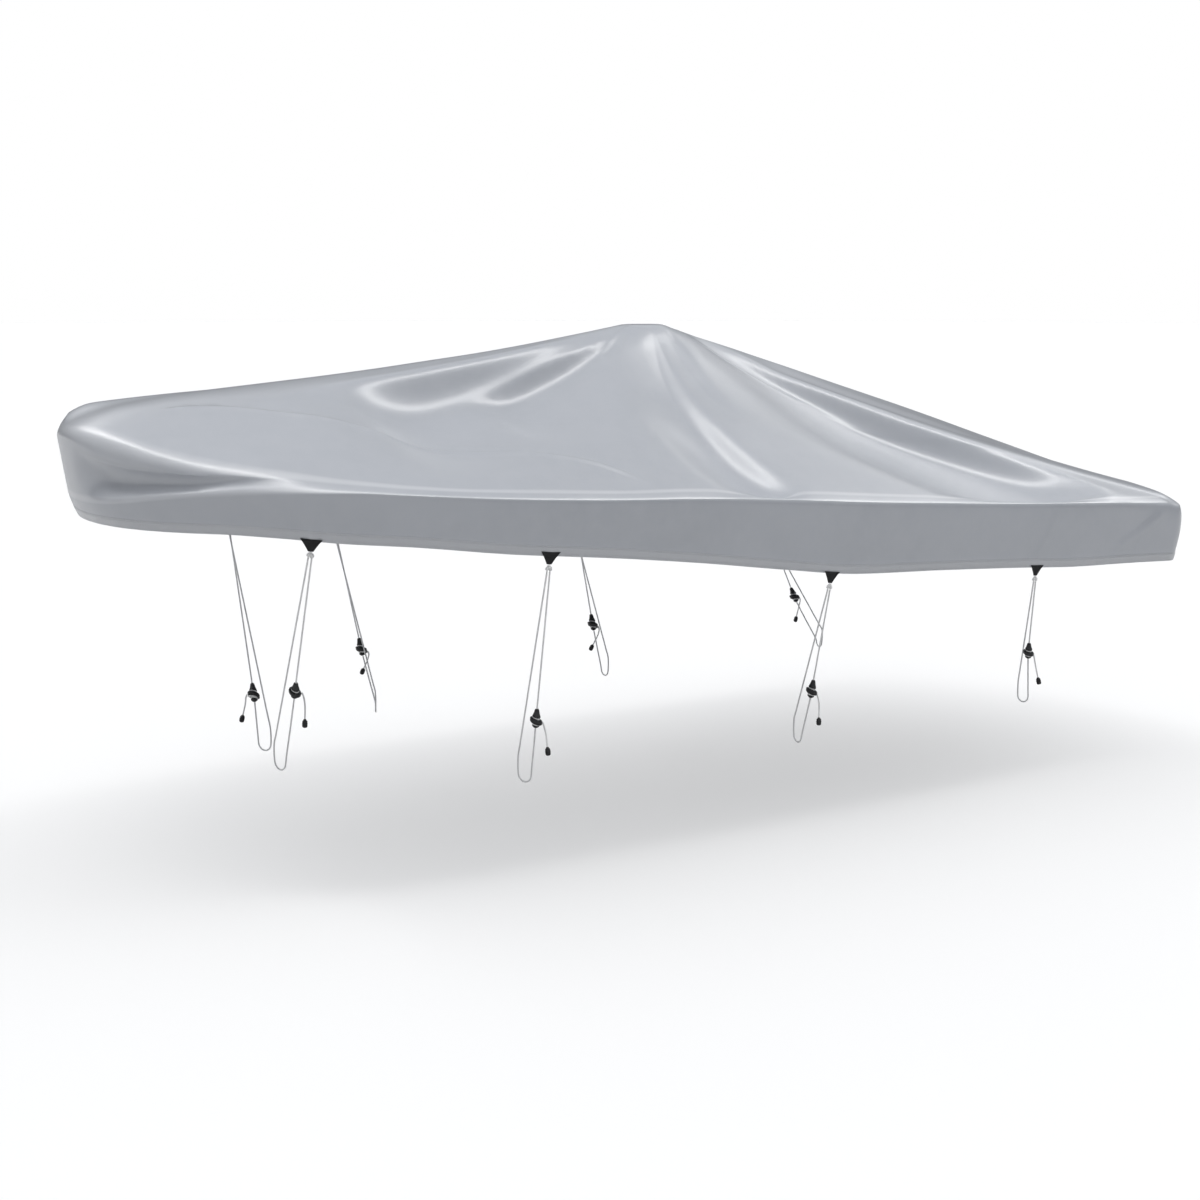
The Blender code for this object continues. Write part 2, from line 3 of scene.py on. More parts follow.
import bpy
import numpy as np
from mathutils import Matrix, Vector


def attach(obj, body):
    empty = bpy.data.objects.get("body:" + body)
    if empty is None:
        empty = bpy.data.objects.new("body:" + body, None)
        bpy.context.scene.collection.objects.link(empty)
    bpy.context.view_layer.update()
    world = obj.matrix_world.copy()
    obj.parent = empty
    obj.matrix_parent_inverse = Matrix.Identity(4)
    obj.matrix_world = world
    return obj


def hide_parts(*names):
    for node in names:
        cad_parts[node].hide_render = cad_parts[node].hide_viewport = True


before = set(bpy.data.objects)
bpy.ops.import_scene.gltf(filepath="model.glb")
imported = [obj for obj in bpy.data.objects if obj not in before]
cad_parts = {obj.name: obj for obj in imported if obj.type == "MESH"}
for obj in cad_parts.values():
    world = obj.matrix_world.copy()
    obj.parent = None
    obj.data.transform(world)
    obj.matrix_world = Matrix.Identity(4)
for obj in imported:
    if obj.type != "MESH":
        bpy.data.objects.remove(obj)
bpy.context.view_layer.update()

scene = bpy.context.scene

# ====================================================================== sizes
# The frame: metres, +Z up, +X to the stern, -Y to port, the origin under the
# flat place at the peak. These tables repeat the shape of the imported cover.
SHEET = 0.0025
PEAK_R = 0.095
GROUND_Z = -2.1975
MID_X, STERN_X = -0.870, 2.520
BEAM, STERN_BEAM, CORNER_R, BOW_POWER = 1.050, 1.005, 0.090, 2.15
GAP = 0.0005
TAB_W, TAB_TIP_W, TAB_H, TAB_T = 0.082, 0.020, 0.050, 0.0022
ROPE_D, STRAND = 0.0068, 0.0062
TENSIONER_H = 0.086
RAIL_TOP, RAIL_BOTTOM = -1.708, -1.808
HEM_W = 0.040

RING = {"rail": (-2.625, -0.002), "edge": (-2.580, 0.004), "hem": (-2.552, -0.012)}
SIDE = [  # x       rail   edge   hem
    (-2.655, 1.846, 1.580, 1.492),
    (-2.570, 1.826, 1.600, 1.490),
    (-2.470, 1.790, 1.624, 1.489),
    (-2.320, 1.750, 1.642, 1.488),
    (-2.140, 1.713, 1.648, 1.476),
    (-1.910, 1.669, 1.642, 1.451),
    (-1.670, 1.640, 1.625, 1.431),
    (-1.270, 1.610, 1.594, 1.383),
    (-0.870, 1.584, 1.568, 1.342),
    (-0.420, 1.560, 1.544, 1.284),
    (0.040, 1.526, 1.510, 1.215),
    (0.410, 1.492, 1.476, 1.165),
    (0.900, 1.454, 1.438, 1.137),
    (1.360, 1.419, 1.403, 1.107),
    (1.780, 1.393, 1.377, 1.076),
    (2.130, 1.370, 1.354, 1.062),
    (2.520, 1.349, 1.333, 1.042),
]
STERN = [
    (0.000, 1.482), (0.100, 1.464), (0.250, 1.440), (0.450, 1.416),
    (0.650, 1.398), (0.850, 1.374), (1.005, 1.349),
]
FLARE = [
    (-2.65, 0.000), (-2.45, 0.018), (-2.25, 0.030), (-2.00, 0.022), (-1.70, 0.000), (2.52, 0.000),
]
SHOULDER = [
    (0.00, 0.000, 0.000), (0.30, 0.000, 0.000), (0.42, 0.009, 0.000), (0.78, 0.010, 0.000),
    (0.848, 0.040, 0.024), (0.90, 0.012, 0.004), (1.00, 0.010, 0.000),
]
CROWN = [
    (-2.625, 0.084), (-2.560, 0.076), (-2.460, 0.058), (-2.300, 0.032), (-2.100, 0.012), (-1.800, 0.000),
]
CROWN_SHAPE = [
    (0.00, 0.00), (0.25, -0.06), (0.43, 0.04), (0.56, 0.20), (0.68, 0.40), (0.76, 0.56),
    (0.84, 0.80), (0.90, 0.93), (0.947, 1.00), (0.975, 0.80), (0.99, 0.48), (1.00, 0.00),
]
CROWN_NOSE = [
    (0.00, 0.00), (0.25, -0.06), (0.43, 0.04), (0.56, 0.20), (0.68, 0.38), (0.76, 0.50),
    (0.84, 0.61), (0.90, 0.61), (0.947, 0.47), (0.975, 0.26), (0.99, 0.11), (1.00, 0.00),
]
CROWN_NEAR = [
    (0.00, 0.00), (0.25, -0.06), (0.43, 0.04), (0.56, 0.18), (0.68, 0.33), (0.78, 0.40),
    (0.86, 0.36), (0.92, 0.25), (0.96, 0.14), (1.00, 0.00),
]
SAG = [
    (0.00, 0.000), (0.15, 0.008), (0.35, 0.022), (0.55, 0.030), (0.72, 0.044), (0.84, 0.056),
    (0.90, 0.040), (0.96, 0.008), (1.00, -0.010),
]
BELLY = [
    (0.00, 0.004), (0.30, 0.004), (0.60, 0.006), (0.80, 0.008), (0.848, 0.020), (0.90, 0.008), (1.00, 0.006),
]
# where the cloth falls steeply from a fold before it flares out to the panel below:
# ends of its upper edge in plan, bend, the side it falls to (left of the run is 1), widths
# at the two ends, how soon it falls, how far the hollow below reaches,
# and its drop at five places along it
LEDGES = [
    ("aft_hip",      0.259,  0.012,  1.871, -0.823, -0.029, -1, 0.050, 0.125,  2.5, 0.60, (0.007, 0.094, 0.136, 0.118, 0.070)),
    ("fore_spine",  -0.164, -0.054, -1.614, -0.197,  0.005,  1, 0.042, 0.180,  2.5, 0.75, (0.004, 0.038, 0.115, 0.145, 0.055)),
    ("fore_fold",   -0.149, -0.085, -0.996, -0.216, -0.007,  1, 0.045, 0.100,  2.5, 0.55, (0.000, 0.050, 0.082, 0.070, 0.025)),
    ("side_fold",    0.010, -0.130,  0.130, -1.000,  0.110, -1, 0.050, 0.090,  1.4, 0.35, (0.014, 0.058, 0.070, 0.080, 0.060)),
    ("side_soft",    0.075, -0.135,  0.150, -0.600,  0.010, -1, 0.040, 0.060,  1.4, 0.25, (0.006, 0.024, 0.026, 0.012, 0.000)),
    ("far_hip",      0.330,  0.120,  1.900,  0.850,  0.020,  1, 0.060, 0.120,  2.2, 0.55, (0.004, 0.050, 0.085, 0.075, 0.040)),
    ("far_spine",   -0.260,  0.130, -1.600,  0.420,  0.010, -1, 0.060, 0.160,  2.2, 0.60, (0.004, 0.040, 0.070, 0.055, 0.020)),
    ("far_side",     0.020,  0.150,  0.090,  1.000, -0.040, -1, 0.060, 0.090,  1.4, 0.35, (0.006, 0.026, 0.036, 0.036, 0.024)),
]
# rounded folds of the top: ends in plan, bend, half widths, height, and how sharp the
# crest is (0 round, 1 creased)
FOLDS = [  # name         x0      y0      x1      y1     bend     w0     w1    height  sharp
    ("fore_ridge",      -0.149, -0.085, -1.080, -0.230, -0.007, 0.014, 0.030,  0.010, 0.3),
    ("fore_crest",      -0.350, -0.060, -1.700, -0.200,  0.000, 0.034, 0.060,  0.011, 0.4),
    ("stern_panel",      0.500, -0.050,  2.000, -0.450,  0.000, 0.060, 0.120, -0.012, 0.0),
    ("far_hollow",       0.300,  0.140,  1.350,  0.900,  0.000, 0.050, 0.100, -0.012, 0.0),
    ("far_aft",          0.240,  0.080,  1.900,  0.780, -0.030, 0.034, 0.070,  0.012, 0.4),
    ("far_side_hollow", -0.100,  0.150, -0.450,  0.900,  0.000, 0.060, 0.110, -0.012, 0.0),
    ("far_fore",        -0.140,  0.090, -1.500,  0.380,  0.010, 0.030, 0.060,  0.012, 0.4),
]
# finer creases of the top: half width, height, then the points they run through in plan
CREASES = [
    ("stern_glint", 0.070, 0.004, [(1.803, -0.797), (2.094, -0.973)]),
    ("peak_nick",   0.012, -0.004, [(0.076, -0.111), (0.080, -0.196)]),
    ("peak_fore",   0.012, 0.005, [(-0.095, -0.050), (-0.330, -0.150)]),
    ("peak_side",   0.012, 0.004, [(-0.010, -0.105), (-0.050, -0.330)]),
    ("far_bow",     0.011, 0.004, [(-2.100, 0.180), (-1.500, 0.520), (-0.900, 0.860)]),
    ("far_stern",   0.040, 0.005, [(1.350, 0.500), (2.250, 0.800)]),
]
# the long soft crease that crosses the foredeck towards the gunwale
SEAM = [(-2.313, -0.180), (-2.057, -0.296), (-1.860, -0.407), (-1.662, -0.491), (-1.480, -0.569),
        (-1.288, -0.617), (-1.054, -0.708), (-0.926, -0.783), (-0.747, -0.876), (-0.613, -0.967)]
SEAM_W, SEAM_H = 0.013, 0.0075
# creases of the skirt, on the side they are on: half width, height, points (x, z)
SKIRT = [
    (-1, 0.017, 0.0095, [(2.378, -0.884), (2.237, -0.965), (1.991, -1.081)]),
    (-1, 0.016, 0.0076, [(1.618, -0.850), (1.490, -1.058)]),
    (-1, 0.014, 0.0065, [(0.492, -0.849), (0.337, -0.987)]),
    (-1, 0.018, 0.0053, [(-0.500, -0.720), (-0.640, -0.830)]),
    (-1, 0.020, 0.0046, [(-1.420, -0.640), (-1.560, -0.740)]),
    (1, 0.017, 0.0095, [(2.300, -0.900), (2.050, -1.060)]),
    (1, 0.016, 0.0068, [(1.200, -0.860), (1.020, -1.030)]),
    (1, 0.016, 0.0065, [(0.100, -0.760), (-0.080, -0.920)]),
    (1, 0.018, 0.0057, [(-1.000, -0.660), (-1.150, -0.800)]),
]
TIES = [  # name       s       lap    tensioner top            outer x, y       inner x, y      side  tail end
    ("port_1",      0.0809, 0.010, (-1.873, -0.377, -1.357), (-1.790, -0.040), (-1.811, 0.030), 1, (-1.838, -0.372, -1.509)),
    ("port_2",      0.1525, 0.018, (-1.047, -0.839, -1.474), (-1.016, -0.735), (-1.043, -0.676), 1, (-1.014, -0.862, -1.630)),
    ("port_3",      0.2575, 0.008, (0.296, -0.911, -1.505), (0.305, -0.825), (0.309, -0.766), 1, (0.318, -0.926, -1.672)),
    ("port_4",      0.3502, 0.012, (1.598, -0.903, -1.486), (1.707, -0.805), (1.698, -0.746), 1, (1.652, -0.916, -1.655)),
    ("starboard_1", 0.8922, 0.010, (-1.730, 0.467, -1.538), (-1.755, 0.350), (-1.720, 0.295), -1, (-1.779, 0.462, -1.674)),
    ("starboard_2", 0.8475, 0.018, (-1.047, 0.839, -1.474), (-1.016, 0.735), (-1.043, 0.676), 1, (-1.014, 0.862, -1.630)),
    ("starboard_3", 0.7425, 0.008, (0.296, 0.911, -1.505), (0.305, 0.825), (0.309, 0.766), 1, (0.318, 0.926, -1.672)),
    ("starboard_4", 0.6498, 0.012, (1.598, 0.903, -1.486), (1.707, 0.805), (1.698, 0.746), 1, (1.652, 0.916, -1.655)),
]
KNOT_H, KNOT_TOP = 0.027, 0.0030
BODY = [  # tensioner: distance from its top, radius
    (0.0000, 0.0045), (0.0015, 0.0068), (0.0050, 0.0090), (0.0120, 0.0104), (0.0200, 0.0121),
    (0.0280, 0.0147), (0.0320, 0.0163), (0.0345, 0.0167), (0.0360, 0.0162), (0.0366, 0.0130),
    (0.0375, 0.0110), (0.0440, 0.0110), (0.0450, 0.0130), (0.0458, 0.0215), (0.0468, 0.0236),
    (0.0490, 0.0247), (0.0520, 0.0252), (0.0540, 0.0251), (0.0550, 0.0240), (0.0565, 0.0240),
    (0.0575, 0.0250), (0.0610, 0.0245), (0.0640, 0.0234), (0.0653, 0.0216), (0.0660, 0.0125),
    (0.0670, 0.0102), (0.0720, 0.0100), (0.0735, 0.0112), (0.0742, 0.0141), (0.0760, 0.0150),
    (0.0790, 0.0140), (0.0830, 0.0098), (0.0855, 0.0066), (0.0860, 0.0040),
]
TILT = [(0.000, 0), (0.004, 0), (0.020, 2), (0.034, 10), (0.039, 18), (0.044, 20), (0.046, 22),
        (0.064, 22), (0.066, 18), (0.072, 12), (0.074, 8), (0.086, 0)]
CAP = [  # end cap: distance down, radius
    (0.0000, 0.0048), (0.0010, 0.0060), (0.0045, 0.0066), (0.0060, 0.0092), (0.0080, 0.0102),
    (0.0105, 0.0104), (0.0115, 0.0098), (0.0130, 0.0098), (0.0140, 0.0110), (0.0200, 0.0112),
    (0.0210, 0.0104), (0.0225, 0.0104), (0.0235, 0.0110), (0.0290, 0.0103), (0.0320, 0.0085),
    (0.0336, 0.0058), (0.0340, 0.0030),
]

# ====================================================================== stage
def add(name, data):
    ob = bpy.data.objects.new(name, data)
    scene.collection.objects.link(ob)
    return ob


cam = add("camera", bpy.data.cameras.new("camera"))
cam.data.lens, cam.data.sensor_width, cam.data.sensor_fit = 54.0, 36.0, "HORIZONTAL"
cam.data.clip_start, cam.data.clip_end = 0.05, 400.0
cam.location = (-4.544, -6.854, 0.2215)
cam.rotation_euler = (math.radians(90 - 10.24), 0.0, math.radians(-32.23))
scene.camera = cam
scene.view_settings.view_transform = "Standard"

RING_Z, RING_WIDTH, RING_LIGHT = 0.765, 0.045, 6.0
world = bpy.data.worlds.new("studio")
scene.world = world
world.use_nodes = True
nt = world.node_tree
nt.nodes.clear()
w_out = nt.nodes.new("ShaderNodeOutputWorld")
w_mix = nt.nodes.new("ShaderNodeMixShader")
w_path = nt.nodes.new("ShaderNodeLightPath")
w_seen = nt.nodes.new("ShaderNodeBackground")
w_seen.inputs["Color"].default_value = (1.0, 1.0, 1.0, 1.0)
w_seen.inputs["Strength"].default_value = 1.0
w_sky = nt.nodes.new("ShaderNodeBackground")
w_tc = nt.nodes.new("ShaderNodeTexCoord")
w_sep = nt.nodes.new("ShaderNodeSeparateXYZ")
w_ramp = nt.nodes.new("ShaderNodeValToRGB")
w_ramp.color_ramp.elements[0].position = 0.0
w_ramp.color_ramp.elements[0].color = (0.06, 0.06, 0.062, 1)
w_ramp.color_ramp.elements[1].position = 1.0
w_ramp.color_ramp.elements[1].color = (0.76, 0.78, 0.82, 1)
w_mid = w_ramp.color_ramp.elements.new(0.45)
w_mid.color = (0.36, 0.37, 0.39, 1)
nt.links.new(w_tc.outputs["Generated"], w_sep.inputs[0])
nt.links.new(w_sep.outputs["Z"], w_ramp.inputs["Fac"])


def w_math(op, a, b=None):
    node = nt.nodes.new("ShaderNodeMath")
    node.operation = op
    for i, v in enumerate((a, b)):
        if isinstance(v, (int, float)):
            node.inputs[i].default_value = v
        elif v is not None:
            nt.links.new(v, node.inputs[i])
    return node.outputs[0]


# an arch of lamps over the stage: a ring about an axis that leans back, faded low down
w_dot = w_math("ADD", w_math("ADD", w_math("MULTIPLY", w_sep.outputs["X"], 0.247),
                             w_math("MULTIPLY", w_sep.outputs["Y"], 0.373)),
               w_math("MULTIPLY", w_sep.outputs["Z"], 0.894))
w_off = w_math("DIVIDE", w_math("SUBTRACT", w_dot, RING_Z), RING_WIDTH)
w_bell = w_math("EXPONENT", w_math("MULTIPLY", w_math("MULTIPLY", w_off, w_off), -1.0))
w_side = nt.nodes.new("ShaderNodeMapRange")
w_side.inputs["From Min"].default_value, w_side.inputs["From Max"].default_value = 0.42, 0.74
w_side.inputs["To Min"].default_value, w_side.inputs["To Max"].default_value = 0.0, 1.0
nt.links.new(w_sep.outputs["Z"], w_side.inputs["Value"])
w_ring = w_math("MULTIPLY", w_math("MULTIPLY", w_bell, w_side.outputs["Result"]), RING_LIGHT)
w_glow = nt.nodes.new("ShaderNodeBackground")
w_glow.inputs["Color"].default_value = (1.0, 0.995, 0.985, 1.0)
nt.links.new(w_ring, w_glow.inputs["Strength"])
w_sum = nt.nodes.new("ShaderNodeAddShader")
nt.links.new(w_ramp.outputs["Color"], w_sky.inputs["Color"])
w_sky.inputs["Strength"].default_value = 1.0
nt.links.new(w_sky.outputs[0], w_sum.inputs[0])
nt.links.new(w_glow.outputs[0], w_sum.inputs[1])
nt.links.new(w_path.outputs["Is Camera Ray"], w_mix.inputs["Fac"])
nt.links.new(w_sum.outputs[0], w_mix.inputs[1])
nt.links.new(w_seen.outputs[0], w_mix.inputs[2])
nt.links.new(w_mix.outputs[0], w_out.inputs["Surface"])


def sun(name, azimuth, elevation, strength, spread, colour=(1.0, 1.0, 1.0)):
    """Soft studio light from far off: azimuth from +X towards +Y, both in degrees."""
    data = bpy.data.lights.new(name, "SUN")
    data.energy, data.angle, data.color = strength, math.radians(spread), colour
    ob = add(name, data)
    az, el = math.radians(azimuth), math.radians(elevation)
    way = Vector((math.cos(az) * math.cos(el), math.sin(az) * math.cos(el), math.sin(el)))
    ob.location = way * 12.0
    ob.rotation_euler = way.to_track_quat("Z", "Y").to_euler()
    return ob


sun("key", 240.0, 62.0, 0.30, 30.0, (1.0, 0.99, 0.975))

floor_me = bpy.data.meshes.new("floor")
ring = [(90 * math.cos(a), 90 * math.sin(a), GROUND_Z) for a in (2 * math.pi * k / 64 for k in range(64))]
floor_me.from_pydata(ring, [], [tuple(range(64))])
floor_ob = add("floor", floor_me)
floor_mat = bpy.data.materials.new("floor")
floor_mat.use_nodes = True
ft = floor_mat.node_tree
ft.nodes.clear()
f_out = ft.nodes.new("ShaderNodeOutputMaterial")
f_mix = ft.nodes.new("ShaderNodeMixShader")
f_path = ft.nodes.new("ShaderNodeLightPath")
f_low = ft.nodes.new("ShaderNodeBsdfDiffuse")
f_low.inputs["Color"].default_value = (0.60, 0.60, 0.60, 1.0)
f_seen = ft.nodes.new("ShaderNodeBsdfDiffuse")
f_seen.inputs["Color"].default_value = (0.50, 0.50, 0.50, 1.0)
f_glow = ft.nodes.new("ShaderNodeEmission")
f_glow.inputs["Strength"].default_value = 0.46
f_add = ft.nodes.new("ShaderNodeAddShader")
ft.links.new(f_seen.outputs[0], f_add.inputs[0])
ft.links.new(f_glow.outputs[0], f_add.inputs[1])
ft.links.new(f_path.outputs["Is Camera Ray"], f_mix.inputs["Fac"])
ft.links.new(f_low.outputs[0], f_mix.inputs[1])
ft.links.new(f_add.outputs[0], f_mix.inputs[2])
ft.links.new(f_mix.outputs[0], f_out.inputs["Surface"])
floor_me.materials.append(floor_mat)


# ====================================================================== materials
class Nodes:
    """Short calls for building one material's nodes."""

    def __init__(self, name, colour, rough):
        self.mat = bpy.data.materials.new(name)
        self.mat.use_nodes = True
        self.t = self.mat.node_tree
        self.bsdf = self.t.nodes["Principled BSDF"]
        self.bsdf.inputs["Base Color"].default_value = (*colour, 1.0)
        self.bsdf.inputs["Roughness"].default_value = rough

    def new(self, kind, **props):
        n = self.t.nodes.new(kind)
        for k, v in props.items():
            setattr(n, k, v)
        return n

    def link(self, a, b):
        self.t.links.new(a, b)

    def math(self, op, a, b=None, clamp=False):
        n = self.new("ShaderNodeMath", operation=op, use_clamp=clamp)
        for i, v in enumerate((a, b)):
            if v is None:
                continue
            if isinstance(v, (int, float)):
                n.inputs[i].default_value = v
            else:
                self.link(v, n.inputs[i])
        return n.outputs[0]

    def noise(self, vector, scale, detail=2.0, rough=0.5):
        n = self.new("ShaderNodeTexNoise")
        n.inputs["Scale"].default_value = scale
        n.inputs["Detail"].default_value = detail
        n.inputs["Roughness"].default_value = rough
        self.link(vector, n.inputs["Vector"])
        return n.outputs["Fac"]

    def ramp(self, fac, stops):
        n = self.new("ShaderNodeValToRGB")
        e = n.color_ramp.elements
        e[0].position, e[0].color = stops[0][0], (*stops[0][1], 1.0)
        e[1].position, e[1].color = stops[-1][0], (*stops[-1][1], 1.0)
        for pos, col in stops[1:-1]:
            m = e.new(pos)
            m.color = (*col, 1.0)
        self.link(fac, n.inputs["Fac"])
        return n.outputs["Color"]

    def remap(self, v, a, b, c, d):
        n = self.new("ShaderNodeMapRange")
        for i, x in enumerate((a, b, c, d)):
            n.inputs[i + 1].default_value = x
        self.link(v, n.inputs[0])
        return n.outputs[0]

    def bump(self, height, distance, strength=1.0, normal=None):
        n = self.new("ShaderNodeBump")
        n.inputs["Distance"].default_value = distance
        n.inputs["Strength"].default_value = strength
        self.link(height, n.inputs["Height"])
        if normal is not None:
            self.link(normal, n.inputs["Normal"])
        return n.outputs[0]

    def mix(self, fac, a, b, blend="MIX"):
        n = self.new("ShaderNodeMix", data_type="RGBA", blend_type=blend)
        for sock, v in ((n.inputs[0], fac), (n.inputs[6], a), (n.inputs[7], b)):
            if isinstance(v, (int, float)):
                sock.default_value = v
            elif isinstance(v, tuple):
                sock.default_value = (*v, 1.0)
            else:
                self.link(v, sock)
        return n.outputs[2]


def cloth_material():
    m = Nodes("coated_cloth", (0.42, 0.44, 0.48), 0.42)
    tc = m.new("ShaderNodeTexCoord")
    obj = tc.outputs["Object"]
    cloth = m.new("ShaderNodeAttribute", attribute_name="cloth")
    sep = m.new("ShaderNodeSeparateXYZ")
    m.link(cloth.outputs["Vector"], sep.inputs[0])
    painted_highlight = m.new("ShaderNodeAttribute", attribute_name="painted_highlight")
    # colour: broad and small drifts, a painted highlight (lighter colour) along the rounds of the rail and gunwale, a
    # lighter hem
    broad = m.noise(obj, 1.6, 3.0)
    small = m.noise(obj, 14.0, 4.0, 0.6)
    base = m.ramp(broad, [(0.30, (0.405, 0.425, 0.462)), (0.70, (0.440, 0.461, 0.500))])
    base = m.mix(m.remap(small, 0.35, 0.68, 0.0, 0.35), base, (0.470, 0.488, 0.520))
    # painted highlight: the cloth is lightened along the rounds of the rail and gunwale, and a little at the rim over
    # the pole
    base = m.mix(m.remap(painted_highlight.outputs["Fac"], 0.25, 1.0, 0.0, 0.60), base, (0.640, 0.655, 0.680))
    hem = m.remap(sep.outputs["Z"], HEM_W + 0.0004, HEM_W - 0.0006, 0.0, 1.0)
    base = m.mix(m.math("MULTIPLY", hem, 0.60), base, (0.530, 0.540, 0.558))
    # the weave of the base cloth under its coating, about 1.1 mm to a pair of threads
    k = 2 * math.pi / 0.0011
    wx = m.math("SINE", m.math("MULTIPLY", sep.outputs["X"], k))
    wy = m.math("SINE", m.math("MULTIPLY", sep.outputs["Y"], k))
    weave = m.math("MULTIPLY", wx, wy)
    # a stronger thread every 7 mm both ways
    rip = 2 * math.pi / 0.0070
    rx = m.math("POWER", m.math("ABSOLUTE", m.math("COSINE", m.math("MULTIPLY", sep.outputs["X"], rip / 2))), 14.0)
    ry = m.math("POWER", m.math("ABSOLUTE", m.math("COSINE", m.math("MULTIPLY", sep.outputs["Y"], rip / 2))), 14.0)
    grid = m.math("MAXIMUM", rx, ry)
    base = m.mix(m.math("MULTIPLY", grid, 0.05), base, (0.30, 0.31, 0.34))
    m.link(base, m.bsdf.inputs["Base Color"])
    rough = m.remap(small, 0.3, 0.7, 0.33, 0.39)
    rough = m.math("ADD", rough, m.math("MULTIPLY", weave, 0.02))
    m.link(rough, m.bsdf.inputs["Roughness"])
    m.bsdf.inputs["Specular IOR Level"].default_value = 0.75
    m.bsdf.inputs["Coat Weight"].default_value = 1.0
    m.bsdf.inputs["Coat IOR"].default_value = 1.75
    m.bsdf.inputs["Coat Roughness"].default_value = 0.26
    # relief: weave, ripple of the coating, short puckers where the hem is sewn
    fine = m.math("ADD", m.math("MULTIPLY", weave, 0.5), m.math("MULTIPLY", grid, 0.6))
    n1 = m.bump(fine, 0.00010, 0.8)
    ripple = m.noise(obj, 26.0, 3.0, 0.55)
    n2 = m.bump(ripple, 0.0012, 0.55, n1)
    squash = m.new("ShaderNodeMapping")
    squash.inputs["Scale"].default_value = (1.0, 1.0, 0.12)
    m.link(obj, squash.inputs["Vector"])
    pucker = m.noise(squash.outputs[0], 62.0, 2.0, 0.5)
    near_hem = m.remap(sep.outputs["Z"], 0.075, HEM_W, 0.0, 1.0)
    n3 = m.bump(m.math("MULTIPLY", pucker, near_hem), 0.0030, 0.6, n2)
    m.link(n3, m.bsdf.inputs["Normal"])
    return m.mat


def rope_material():
    m = Nodes("braided_rope", (0.93, 0.93, 0.92), 0.62)
    uv = m.new("ShaderNodeUVMap", uv_map="rope")
    sep = m.new("ShaderNodeSeparateXYZ")
    m.link(uv.outputs[0], sep.inputs[0])
    around = m.math("MULTIPLY", sep.outputs["X"], 2 * math.pi * 4)
    along = m.math("MULTIPLY", sep.outputs["Y"], 2 * math.pi / 0.0065)
    a = m.math("ABSOLUTE", m.math("SINE", m.math("ADD", around, along)))
    b = m.math("ABSOLUTE", m.math("SINE", m.math("SUBTRACT", around, along)))
    braid = m.math("MAXIMUM", a, b)
    both = m.math("MULTIPLY", a, b)
    tc = m.new("ShaderNodeTexCoord")
    fuzz = m.noise(tc.outputs["Object"], 900.0, 2.0)
    # painted shade: the colour darkens in the grooves between the strands, where the braid's relief is low; the fuzz
    # adds small random tone
    col = m.ramp(m.math("ADD", m.math("MULTIPLY", braid, 0.75), m.math("MULTIPLY", fuzz, 0.25)),
                 [(0.10, (0.74, 0.74, 0.73)), (0.70, (0.91, 0.91, 0.90)), (1.0, (0.96, 0.96, 0.95))])
    m.link(col, m.bsdf.inputs["Base Color"])
    n1 = m.bump(m.math("ADD", braid, m.math("MULTIPLY", both, 0.6)), 0.0005, 0.6)
    n2 = m.bump(fuzz, 0.0002, 0.5, n1)
    m.link(n2, m.bsdf.inputs["Normal"])
    m.bsdf.inputs["Sheen Weight"].default_value = 0.15
    return m.mat


def webbing_material():
    m = Nodes("black_webbing", (0.013, 0.013, 0.014), 0.72)
    uv = m.new("ShaderNodeUVMap", uv_map="web")
    sep = m.new("ShaderNodeSeparateXYZ")
    m.link(uv.outputs[0], sep.inputs[0])
    ribs = m.math("SINE", m.math("MULTIPLY", sep.outputs["Y"], 2 * math.pi / 0.0016))
    cross = m.math("SINE", m.math("MULTIPLY", sep.outputs["X"], 2 * math.pi / 0.0024))
    twill = m.math("MULTIPLY", ribs, cross)
    h = m.math("ADD", m.math("MULTIPLY", ribs, 0.6), m.math("MULTIPLY", twill, 0.4))
    # painted shade: the colour darkens in the grooves between the ribs, following the relief of the bump
    col = m.ramp(m.remap(h, -1.0, 1.0, 0.0, 1.0), [(0.0, (0.004, 0.004, 0.005)), (1.0, (0.013, 0.013, 0.014))])
    m.link(col, m.bsdf.inputs["Base Color"])
    m.link(m.bump(h, 0.0004, 0.8), m.bsdf.inputs["Normal"])
    return m.mat


def plastic_material(name, colour, rough, grain):
    m = Nodes(name, colour, rough)
    tc = m.new("ShaderNodeTexCoord")
    g = m.noise(tc.outputs["Object"], grain, 3.0, 0.6)
    big = m.noise(tc.outputs["Object"], 60.0, 2.0)
    col = m.mix(m.remap(big, 0.35, 0.65, 0.0, 1.0), colour, tuple(c * 1.7 for c in colour))
    m.link(col, m.bsdf.inputs["Base Color"])
    m.link(m.remap(g, 0.3, 0.7, rough - 0.06, rough + 0.10), m.bsdf.inputs["Roughness"])
    m.link(m.bump(g, 0.00012, 0.7), m.bsdf.inputs["Normal"])
    return m.mat


def thread_material(name, colour):
    m = Nodes(name, colour, 0.55)
    tc = m.new("ShaderNodeTexCoord")
    g = m.noise(tc.outputs["Object"], 700.0, 2.0)
    m.link(m.mix(g, tuple(c * 0.8 for c in colour), tuple(min(1.0, c * 1.15) for c in colour)),
           m.bsdf.inputs["Base Color"])
    m.link(m.bump(g, 0.0002, 0.6), m.bsdf.inputs["Normal"])
    return m.mat


CLOTH = cloth_material()
ROPE = rope_material()
WEB = webbing_material()
PLASTIC = plastic_material("black_plastic", (0.013, 0.013, 0.014), 0.36, 1400.0)
RUBBER = plastic_material("black_rubber", (0.011, 0.011, 0.012), 0.50, 900.0)
THREAD = thread_material("grey_thread", (0.56, 0.57, 0.60))
DARK_THREAD = thread_material("dark_thread", (0.030, 0.030, 0.032))


